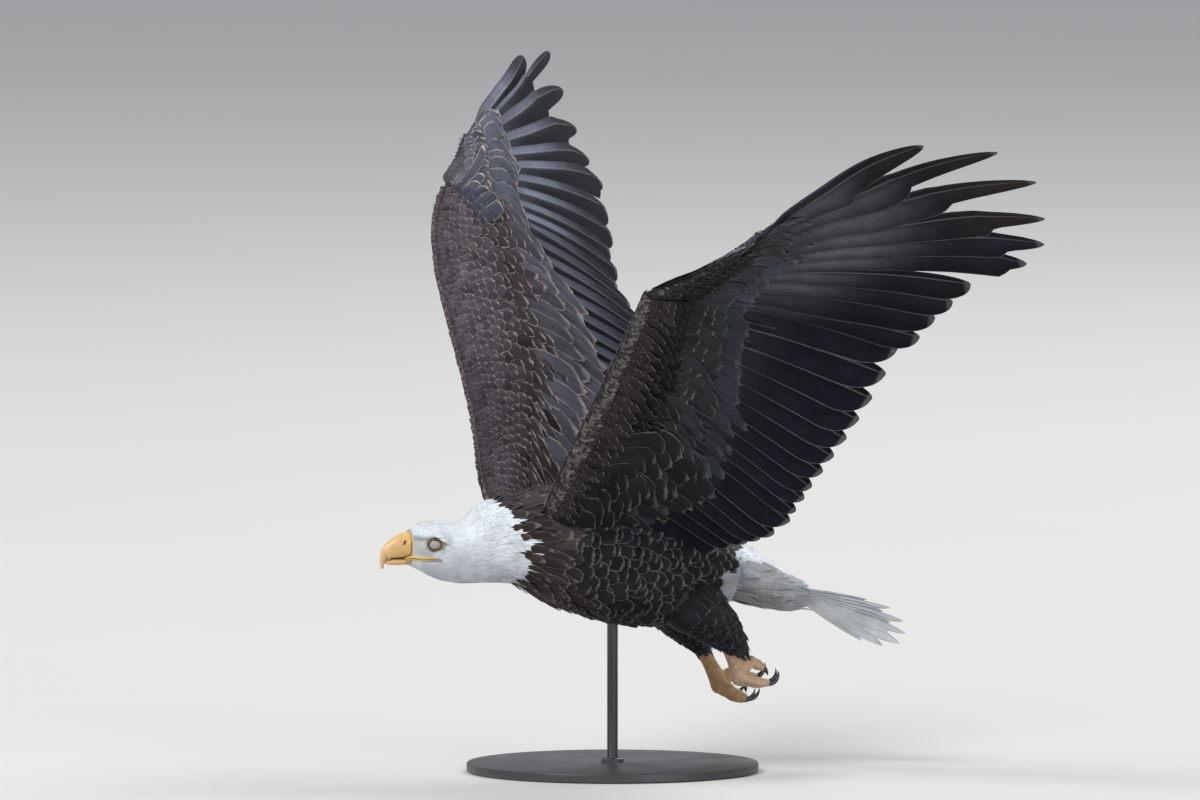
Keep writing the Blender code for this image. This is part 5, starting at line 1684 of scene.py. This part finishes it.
class EAGLE_OT_wings(Operator):
    """Lay the flight feathers and coverts of both wings"""
    bl_idname = "eagle.wings"
    bl_label = "Wings"

    def execute(self, context):
        plumage, _, sizes = settings(context)
        model, self.plumage = Bird.get(context), plumage
        self.materials = dict(
            quill=feather_material("flight_feathers", plumage.flight_edge[:], 0.50, 90.0,
                                   (0.120, 0.114, 0.114, 0.8), 0.0, 0.050, 0.05),
            upper=feather_material("upper_coverts", plumage.upper_edge[:], 0.66, 24.0,
                                   (0.018, 0.016, 0.016, 0.5), 0.01, 0.16, 0.05),
            lower=feather_material("under_coverts", plumage.under_edge[:], 0.56, 24.0,
                                   (0.007, 0.006, 0.006, 0.5), 0.02, 0.12))
        for number, side in enumerate(model.wings):
            self.rng = np.random.default_rng(sizes.seed + 11 + number)
            self.side, self.wing, self.charts = side, model.wings[side], model.wing_charts[side]
            self.quills()
            for face in ("upper", "lower"):
                self.coverts(face)
        return {"FINISHED"}

    def quills(self):
        maker = Quills(self.wing, self.rng)
        for name, first, last, nodes in (
                ("primaries", 0, 10, ["wing_primaries_", "alula_"]
                 + ["primary_%02d_" % n for n in range(5, 11)]),
                ("secondaries", 10, 26, ["wing_secondaries_"])):
            coat = Coat("%s_%s" % (name, self.side), "wing_plumage", self.materials["quill"])
            number = last - first
            for q in range(first, last):
                points = maker.place(float(q))[None]
                tone = maker.tone(float(q), self.plumage)[None]
                place = np.array([[(q - first + 0.5) / number, 0.5]])
                coat.add(maker.vane, points, tone, place, (0.9 / number, 0.94))
            coat.build([node + self.side for node in nodes])

    def places(self, face, tip, span, width, first, last, row):
        """Even places along one row of coverts: q, lengths and half widths."""
        wing, chart = self.wing, self.charts[face]
        q = np.arange(first, last, 0.1)
        run = chart.stretch(chart.across, *wing.spot(tip, q)) * 0.1 / Q_STEP
        run = np.concatenate([[0], np.cumsum(run[:-1])])
        scale = np.interp(run, run, wing.whole_at(q)) / CHORD
        local = width * np.clip(scale, *WIDTH_SCALE) * 0.74
        steps = np.concatenate([[0], np.cumsum(np.diff(run) / local[1:])])
        number = max(int(steps[-1]), 2)
        places = np.interp(np.arange(number) + 0.5 * (row % 2) + 0.2, steps, q)
        places = places + self.rng.standard_normal(number) * 0.03
        whole = wing.whole_at(places)
        halves = width * 0.5 * np.clip(whole / CHORD, *WIDTH_SCALE)
        return places, span * whole, halves * self.rng.uniform(0.9, 1.1, number)

    def cover(self, coat, face, vane, share, q, *feathers, **shape):
        """Lay one vane at each place q of a row."""
        coat.cover(self.rng, self.charts[face], vane, *self.wing.spot(share, q), *feathers, **shape)

    def coverts(self, face):
        """Rows of coverts on one face of the wing, the longest laid first."""
        rng, wing = self.rng, self.wing
        coats = {part: Coat("%s_coverts_%s_%s" % (face, part, self.side), "wing_plumage",
                            self.materials[face]) for part in ("arm", "hand")}
        self.greater(face, coats)
        for part, first, last in (("hand", HAND_END, WRIST), ("arm", WRIST, ARM_END)):
            self.leading_edge(face, part, first, last, coats[part])
            for row, (tip, span, width, kind) in enumerate(ROWS[face, part]):
                start = first + self.gap(face, part, tip)
                q, _, half = self.places(face, tip, span, width, start, last, row)
                tips = tip * (1 + 0.02 * rng.standard_normal(len(q)))
                root = np.maximum(tips - span, 0.010)
                vane = Vane(SMALL if width < 0.0095 else BLUNT if face == "lower" else ROUND)
                flat = lerp(0.25, 1.0, smooth(0.08, 0.30, tip))
                swept = lerp(0.95, 0.10, smooth(0.08, 0.60, tip)) if part == "hand" else 0.0
                inner = 1 - 0.28 * (face == "upper") * smooth(16.0, 23.0, q)[:, None]
                self.cover(coats[part], face, vane, root, q,
                           0.05 * rng.standard_normal(len(q)) - swept,
                           ((tips - root) * wing.whole_at(q), half),
                           (0.10, flat * (0.92 + 0.14 * rng.random(len(q)))),
                           lambda: self.tone(face, kind, part, tip, len(q)) * inner, camber=0.15,
                           roll=0.04 * rng.standard_normal(len(q)), thick=0.00018,
                           proud=lerp(0.0006, 0.0030, tip))
        if face == "upper":
            self.alula(coats["hand"])
        else:
            self.axillaries(coats["arm"])
        for coat in coats.values():
            coat.build()

    @staticmethod
    def gap(face, part, tip):
        """Feather places left free at the hand's end, where short coverts would stand out."""
        if part == "arm":
            return 0.0
        if face == "lower":
            return 2.4 if tip < 0.5 else 0.0
        return 1.8 if tip < 0.25 else 0.0

    def leading_edge(self, face, part, first, last, coat):
        """Narrow dark feathers lying along the leading edge, towards the wing's tip."""
        rng, vane = self.rng, Vane(ROUND)
        lift = (0.35, 0.70) if face == "upper" else (0.05, 0.20)
        front, rows, free, turn, width, halves, kind = LEADS[face, part]
        for row in range(rows):
            share = front + 0.026 * row
            q, _, half = self.places(face, share, 0.0, width, first + free, last, row)
            half = np.clip(half, *halves)
            self.cover(coat, face, vane, share, q, 0.04 * rng.standard_normal(len(q)) - turn,
                       (rng.uniform(4.6, 6.0, len(q)) * half, half), lift,
                       lambda: self.tone(face, kind, part, share, len(q)), camber=0.12,
                       thick=0.00016, proud=0.0004)

    def alula(self, coat):
        """Stiff feathers of the thumb, stacked over the greater coverts of the hand."""
        q, share, turn, long, proud = (np.array(column) for column in zip(*ALULA))
        self.cover(coat, "upper", Vane(SQUARE, LONG_COLUMNS), share, q, turn,
                   (long, 0.090 * long + 0.0015), (0.6, 0.9),
                   (rgb(self.plumage.slate) * 0.70, 0.08, 1.3), frayed=False, camber=0.12,
                   roll=-0.05, thick=0.0005, proud=proud)

    def axillaries(self, coat):
        """Long loose feathers under the wing's root."""
        rng, vane = self.rng, Vane(ROUND, LONG_COLUMNS[::2])
        base = mixed(self.plumage.flight, self.plumage.under, 0.35)
        for row, (tip, span) in enumerate(((0.52, 0.34), (0.70, 0.42), (0.90, 0.50), (1.08, 0.56))):
            q = np.arange(20.4, 27.3, 0.85) + 0.42 * (row % 2)
            self.cover(coat, "lower", vane, tip - span, q, 0.05 * rng.standard_normal(len(q)),
                       (span * self.wing.whole_at(q), np.full(len(q), 0.0125)), (0.5, 1.2),
                       (base, 0.15, 0.62), camber=0.16, roll=0.05 * rng.standard_normal(len(q)),
                       thick=0.0003, proud=0.0045)

    def tone(self, face, kind, part, tip, number):
        plumage, rng = self.plumage, self.rng
        if face == "upper":
            base = mixed(plumage.upper, plumage.slate, 0.55 if part == "hand" else 0.0)
            base = base * {"fleck": 0.80, "lead": 0.55}.get(kind, 1.0)
            base = base * lerp(1.25, 0.70, smooth(0.28, 0.55, tip))
            return tinted(rng, base, number, 0.18, 0.45 if kind == "lead" else 1.0)
        strength, edge = {"fleck": (1.8, 1.0), "plain": (1.15, 0.66), "black": (0.40, 0.26),
                          "median": (1.25, 0.66), "lead": (0.55, 0.12)}[kind]
        strength *= 0.65 if part == "hand" else 1.0
        values = tinted(rng, rgb(plumage.under) * strength, number, 0.22, edge)
        if kind == "fleck":
            pale = rng.random(number) < (0.60 if part == "arm" else 0.15)
            values[pale, :3] = lerp(values[pale, :3], rgb(plumage.fleck),
                                    rng.uniform(0.05, 0.42, (pale.sum(), 1)))
        return values

    def greater(self, face, coats):
        """One long covert over each flight feather, on either side, and a shorter row on it."""
        rng, wing, chart, plumage = self.rng, self.wing, self.charts[face], self.plumage
        vane = Vane(ROUND)
        rows = ((0.97, 0.64, 1.0, 0.0, 1.0), (0.78, 0.46, 0.86, 0.5, 1.25))
        for part, first, last in (("hand", 0, 10), ("arm", 10, 26)):
            hand = part == "hand"
            for tip, span, wide, shift, lift in rows[:1 if hand and face == "upper" else 2]:
                q = np.arange(first, last - shift, 1.0) + shift
                tips = tip + 0.02 * rng.standard_normal(len(q))
                beside = chart.stretch(chart.across, *wing.spot(tips, q)) / Q_STEP
                half = np.clip(0.78 * beside, 0.008, 0.021) * wide
                if face == "upper":
                    base = plumage.slate if hand else mixed(plumage.upper, plumage.slate, 0.35)
                    edge = 1.0 if hand else 0.8
                else:
                    base = mixed(plumage.flight, plumage.slate, 0.42 if hand else 0.22)
                    base = mixed(base, plumage.under, 0.6) if shift else base
                    edge = 0.24
                self.cover(coats[part], face, vane, tips - span, q,
                           0.03 * rng.standard_normal(len(q)), (span * wing.whole_at(q), half),
                           (0.10, lift), (base, 0.12, edge), roll=-VANE_TILT * 0.5, thick=0.0003,
                           proud=0.0030 if hand else 0.0020)


# ------------------------------------------------------------------ tail, legs, feet
class EAGLE_OT_tail(Operator):
    """Lay the twelve tail feathers and the coverts over and under them"""
    bl_idname = "eagle.tail"
    bl_label = "Tail"

    def execute(self, context):
        plumage, _, sizes = settings(context)
        rng = np.random.default_rng(sizes.seed + 31)
        stiff = feather_material("tail_feathers", (0.88, 0.89, 0.91), 0.55, 80.0,
                                 (0.82, 0.82, 0.80, 0.7), 0.05, 0.05, root_shade=0.15)
        soft = feather_material("tail_covert_down", (0.80, 0.82, 0.86), 0.62, 30.0,
                                (0.70, 0.71, 0.73, 0.12), 0.08, 0.12, root_shade=0.12)
        self.feathers(rng, plumage, stiff)
        self.coverts(rng, plumage, soft, Bird.get(context).trunk)
        return {"FINISHED"}

    def feathers(self, rng, plumage, material):
        """Stiff feathers stacked from the outermost pair up to the middle."""
        vane = long_vane()
        coat = Coat("tail_feathers", "white_plumage", material)
        reach, share, level = vane.points.T
        for number in range(TAIL_FEATHERS):
            place = -1.0 + (2 * number + 1) / TAIL_FEATHERS
            long = 1.0 - 0.02 * rng.random() - 0.085 * (number % 2)
            line, beside = (np.array([tail_point(at, r * long) for r in reach])
                            for at in (place, place + 2.0 / TAIL_FEATHERS))
            beside = beside - line
            across = unit(beside)
            normal = np.array([tail_frame(TAIL_TWIST * r)[2] for r in reach])
            taper = round_tip(reach, 0.80, 0.75) * (1 - 0.25 * smooth(0.78, 1.0, reach))
            half = np.clip(1.15 * np.linalg.norm(beside, axis=1), 0.007, 0.0165) * taper
            middle = share * half
            stack = 0.0012 - 0.0050 * abs(place)
            thick = np.where(np.abs(share) < 0.03, 0.0012 * (1 - 0.8 * reach), 0.0003)
            tilt = -np.sign(place) * 0.10 * middle
            height = stack * (1 - 0.4 * reach) + tilt - 0.06 * np.abs(middle) + level * thick
            points = line + across * middle[:, None] + normal * height[:, None]
            # painted shade: the underside a little darker, and darker still towards its margins
            # where the feathers overlap
            tone = mixed(plumage.white, plumage.white_shade, 0.10 * (level < 0))
            tone = tone * (1 - 0.30 * smooth(0.45, 1.0, np.abs(share)) * (level <= 0))[:, None]
            tone = np.clip(tone * (1.15 + 0.05 * rng.standard_normal()), 0, 1)
            place = np.array([[(number + 0.5) / TAIL_FEATHERS, 0.5]])
            coat.add(vane, points[None], np.insert(tone, 3, 0.5, axis=1)[None], place,
                     (0.075, 0.94))
        coat.build(("tail",))

    def coverts(self, rng, plumage, material, trunk):
        """Long white coverts above, and looser mottled ones below, darker there by painted shade.
        """
        chart, start, stop = trunk.chart, trunk.row(-0.118), trunk.rump_row + 15.0
        sizes = growing(start, stop, (0.036, 0.062), (0.0062, 0.0085))
        u, v, long, wide = rows_of(chart, start, stop, sizes, 0.20, 0.62, rng, 0.22)
        places = chart.at(u, v)
        keep = tail_white(places) > 0.25 + 0.5 * rng.random(len(u))
        u, v, long, wide, places = kept(keep, u, v, long, wide, places)
        x, y, z = places.T
        above = smooth(0.05, 0.45, unit(chart.read(chart.normals, u, v)) @ tail_frame(25.0)[2])
        number = len(u)
        size = (long * (1 + 0.25 * above), wide * (1 + 0.55 * above))
        cloud = 0.5 + 0.3 * np.sin(x * 95.0 + 40.0 * z) + 0.3 * np.sin(z * 170.0 - 60.0 * y)
        mottled = np.clip(cloud + 0.15 * rng.standard_normal(number), 0, 1) * (1 - above)
        # painted shade: coverts that face down take the shaded white
        tone = mixed(rgb(plumage.white_shade) * 0.75, plumage.white, above)
        tone = mixed(tone, rgb(plumage.mottle) * 1.25, mottled * 0.62)
        flecked = (rng.random(number) < 0.45) & (tail_white(places) < 0.96)
        tone[flecked] = rgb(plumage.dark) * 1.5
        turn = lerp(0.12, 0.03, above) * rng.standard_normal(number)
        lift = (0.10, lerp(0.95, 0.50, above) * rng.uniform(0.90, 1.10, number))
        coat = Coat("tail_coverts", "white_plumage", material)
        coat.cover(rng, chart, Vane(POINTED), u, v, turn, size, lift, (tone, 0.06, 0.5),
                   camber=0.06, roll=0.02 * rng.standard_normal(number))
        coat.build()


class EAGLE_OT_legs(Operator):
    """Lay the trousers, the scutes and scales of the feet, and build the talons"""
    bl_idname = "eagle.legs"
    bl_label = "Legs and feet"

    def execute(self, context):
        plumage, soft, sizes = settings(context)
        rng = np.random.default_rng(sizes.seed + 53)
        dark = feather_material("trouser_feathers", plumage.dark_edge[:], 0.60, 20.0,
                                (0.006, 0.005, 0.005, 0.4), 0.03, 0.14)
        scales = skin_material("foot_scales", 0.00015, 900.0, 0.55, 0.05, 0.2)
        claw = horn_material("talon_gloss", 0.24, 0.55)
        for side, leg in Bird.get(context).legs.items():
            far, skin = (0.12, soft.foot_pink) if side == "left" else (0.55, soft.foot)
            self.trousers(side, leg.thigh, rng, plumage.dark, far, dark)
            self.scutes(side, leg, rng, skin, scales)
            self.talons(side, leg, soft.talon, claw)
        return {"FINISHED"}

    @staticmethod
    def trousers(side, chart, rng, base, grey, material):
        """Soft round feathers, more pointed and greyer towards the cuff."""
        rows = len(chart.points)
        sizes = growing(0, rows, (0.036, 0.021), (0.0100, 0.0042))
        u, v, long, wide = rows_of(chart, 1.0, rows - 1.4, sizes, 0.26, 0.62, rng, 0.22)
        cuff = smooth(0.72, 0.98, u / rows)
        turn = lerp(0.12, 0.30, cuff) * rng.standard_normal(len(u))
        tips = lerp(1.0, 1.2, cuff) * rng.uniform(0.8, 1.3, len(u))
        tone = mixed(base, CUFF_GREY, cuff * grey)
        coat = Coat("trousers_" + side, "dark_plumage", material)
        for chosen, outline in ((cuff > 0.25, POINTED), (cuff <= 0.25, ROUND)):
            *where, size, wider, tip = kept(chosen, u, v, turn, long, wide, tips)
            coat.cover(rng, chart, Vane(outline), *where, (size, wider), (0.10, tip),
                       (tone[chosen], 0.2, 0.7), camber=0.16,
                       roll=0.06 * rng.standard_normal(len(tip)))
        coat.build()

    @staticmethod
    def scutes(side, leg, rng, skin, material):
        """Overlapping scales round the shank and the toes."""
        coat = Coat("scales_" + side, "foot_skin", material)
        vane = Vane(SCUTE, (-1.0, -0.4, 0.4, 1.0))
        charts = [(leg.shank, (0.0050, 0.0022))] + [(toe, (0.0042, 0.0019))
                                                    for toe in leg.toe_charts]
        for number, (chart, size) in enumerate(charts):
            u, v, long, wide = rows_of(chart, 0.5, len(chart.points) - 2.0, lambda u: size, 0.60,
                                       0.80, rng, 0.08)
            coat.cover(rng, chart, vane, u, v, 0.05 * rng.standard_normal(len(u)), (long, wide),
                       (0.2, 1.15), (skin, 0.10, 0.0), (number, len(charts), (0.05, 0.02)),
                       frayed=False, camber=0.16, thick=0.0003)
        coat.build()

    @staticmethod
    def talons(side, leg, horn, material):
        """Hooked claws, tapering to a point."""
        claws = []
        steps = 18
        for toe, end, last, hook in leg.toes:
            start = end - last * 0.0012
            path = [start] + [start + last * (0.002 + toe["talon"] * math.sin(a))
                              + hook * toe["talon"] * (1 - math.cos(a))
                              for a in (math.radians(abs(toe["turn"]) * k / steps)
                                        for k in range(steps + 1))]
            radii = [0.0040] + [0.0040 * (1 - (k / (steps + 0.6)) ** 1.7) for k in range(steps + 1)]
            claws.append(grid_shape(tube_rings(path, radii, 18, up=leg.across)))
        mesh = mesh_of("talons_" + side, joined_shape(claws))
        places = vertices_of(mesh)
        painted_piece(mesh, places, np.tile(rgb(horn), (len(places), 1)), material, "talon_horn",
                      ["talon_%s_%s" % (name, side) for name in TOES])


# ------------------------------------------------------------------ stand and stage
class EAGLE_OT_stand(Operator):
    """Finish the display stand's plate and rod"""
    bl_idname = "eagle.stand"
    bl_label = "Stand"

    def execute(self, context):
        paint_finish = metal_material()
        low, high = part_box("stand_base")
        radius, top = (high.x - low.x) / 2, high.z
        self.turned("stand_plate", [(0.0, 0.0), (radius - 0.0015, 0.0), (radius, 0.0015),
                                    (radius, top - 0.0020), (radius - 0.0006, top - 0.0006),
                                    (radius - 0.0020, top), (0.0, top)], 160, paint_finish,
                    "stand_base")
        low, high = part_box("stand_rod")
        rod = (high.x - low.x) / 2
        self.turned("stand_pole", [(0.0, top), (0.0150, top), (0.0150, top + 0.004),
                                   (0.0135, top + 0.0055), (rod + 0.0010, top + 0.0060),
                                   (rod, top + 0.0075), (rod, high.z), (0.0, high.z)], 48,
                    paint_finish, "stand_rod")
        return {"FINISHED"}

    @staticmethod
    def turned(name, profile, steps, material, node):
        """A profile of radius and height spun round the upright axis."""
        shape = bmesh.new()
        verts = [shape.verts.new((radius, 0.0, height)) for radius, height in profile]
        edges = [shape.edges.new(pair) for pair in zip(verts, verts[1:])]
        bmesh.ops.spin(shape, geom=verts + edges, cent=(0, 0, 0), axis=(0, 0, 1), dvec=(0, 0, 0),
                       angle=2 * math.pi, steps=steps, use_merge=True, use_duplicate=False)
        bmesh.ops.remove_doubles(shape, verts=shape.verts[:], dist=1e-6)
        bmesh.ops.recalc_face_normals(shape, faces=shape.faces[:])
        finish_piece(mesh_of(name, shape), material, "stand_metal", (node,), sharp=40.0)


AIM = (-0.01625, 0.1955)        # camera's aim right of and above the middle of the body
FLOOR_RADIUS = 260.0
LIT_HEIGHT = 0.45               # height of the point the lamps face
# name, place (towards the camera, to its right, up), size, watts, colour
LAMPS = (("key", (6.6, -6.6, 9.6), 7.2, 1350.0, (1.0, 0.98, 0.95)),
         ("fill", (10.2, 7.8, 3.6), 9.0, 315.0, (0.95, 0.97, 1.0)),
         ("back", (-7.8, 4.8, 9.0), 5.4, 720.0, (1.0, 0.99, 0.97)))


class EAGLE_OT_stage(Operator):
    """Set the floor, the camera and the lights"""
    bl_idname = "eagle.stage"
    bl_label = "Stage"

    def execute(self, context):
        stage = context.scene.eagle_stage
        a, e = stage.azimuth, stage.elevation
        back = Vector((math.sin(a) * math.cos(e), -math.cos(a) * math.cos(e), math.sin(e)))
        right = Vector((math.cos(a), math.sin(a), 0.0))
        self.floor(stage)
        self.camera(context, stage, right, back)
        self.lights(context, right, back)
        context.scene.view_settings.view_transform = "Standard"
        return {"FINISHED"}

    @staticmethod
    def camera(context, stage, right, back):
        target = Vector(BODY_AT) + right * AIM[0] + back.cross(right) * AIM[1]
        camera = bpy.data.cameras.new("camera")
        camera.lens, camera.sensor_width = stage.focal, 36.0
        camera.clip_start, camera.clip_end = 1.0, 400.0
        holder = bpy.data.objects.new("camera", camera)
        holder.location = target + back * stage.distance
        holder.rotation_euler = back.to_track_quat("Z", "Y").to_euler()
        context.scene.collection.objects.link(holder)
        context.scene.camera = holder

    @staticmethod
    def floor(stage):
        """A wide plain floor, which fills the view behind the bird as well."""
        shape = bmesh.new()
        bmesh.ops.create_circle(shape, cap_ends=True, segments=128, radius=FLOOR_RADIUS,
                                matrix=Matrix.Translation((0, 0, -0.0004)))
        mesh = mesh_of("floor", shape)
        mesh.materials.append(floor_material(stage.floor))
        sheet = bpy.data.objects.new("floor", mesh)
        bpy.context.scene.collection.objects.link(sheet)

    @staticmethod
    def lights(context, right, back):
        flat = Vector((back.x, back.y, 0.0)).normalized()
        for name, (nearer, rightward, above), size, watts, tone in LAMPS:
            lamp = bpy.data.lights.new(name, "AREA")
            lamp.shape, lamp.size, lamp.energy, lamp.color = "DISK", size, watts, tone
            holder = bpy.data.objects.new(name, lamp)
            place = flat * nearer + right * rightward + Vector((0, 0, above))
            holder.location = place + Vector((0.0, 0.0, LIT_HEIGHT))
            holder.rotation_euler = place.to_track_quat("Z", "Y").to_euler()
            holder.visible_camera = False
            context.scene.collection.objects.link(holder)
        world = bpy.data.worlds.new("studio")
        world.use_nodes = True
        sky = world.node_tree.nodes["Background"]
        sky.inputs[0].default_value = (0.90, 0.94, 1.0, 1.0)
        sky.inputs[1].default_value = 0.50
        context.scene.world = world


class EAGLE_PT_panel(Panel):
    """Buttons that build each part of the eagle"""
    bl_label = "Bald eagle"
    bl_idname = "EAGLE_PT_panel"
    bl_space_type = "VIEW_3D"
    bl_region_type = "UI"
    bl_category = "Eagle"

    def draw(self, context):
        for operator in OPERATORS:
            self.layout.operator(operator.bl_idname)
        for group in GROUPS:
            holder = getattr(context.scene, GROUPS[group])
            for name in group.__annotations__:
                self.layout.prop(holder, name)


OPERATORS = (EAGLE_OT_skin, EAGLE_OT_eyes, EAGLE_OT_bill, EAGLE_OT_body_coat, EAGLE_OT_wings,
             EAGLE_OT_tail, EAGLE_OT_legs, EAGLE_OT_stand, EAGLE_OT_stage)
GROUPS = {EaglePlumage: "eagle_plumage", EagleSoftParts: "eagle_soft_parts",
          EagleSizes: "eagle_sizes", EagleStage: "eagle_stage"}


def register():
    for item in (*GROUPS, *OPERATORS, EAGLE_PT_panel):
        bpy.utils.register_class(item)
    for group, name in GROUPS.items():
        setattr(bpy.types.Scene, name, PointerProperty(type=group))


def unregister():
    for name in GROUPS.values():
        delattr(bpy.types.Scene, name)
    for item in reversed((*GROUPS, *OPERATORS, EAGLE_PT_panel)):
        bpy.utils.unregister_class(item)


def main():
    register()
    for operator in OPERATORS:
        family, name = operator.bl_idname.split(".")
        getattr(getattr(bpy.ops, family), name)()


if __name__ == "__main__":
    main()
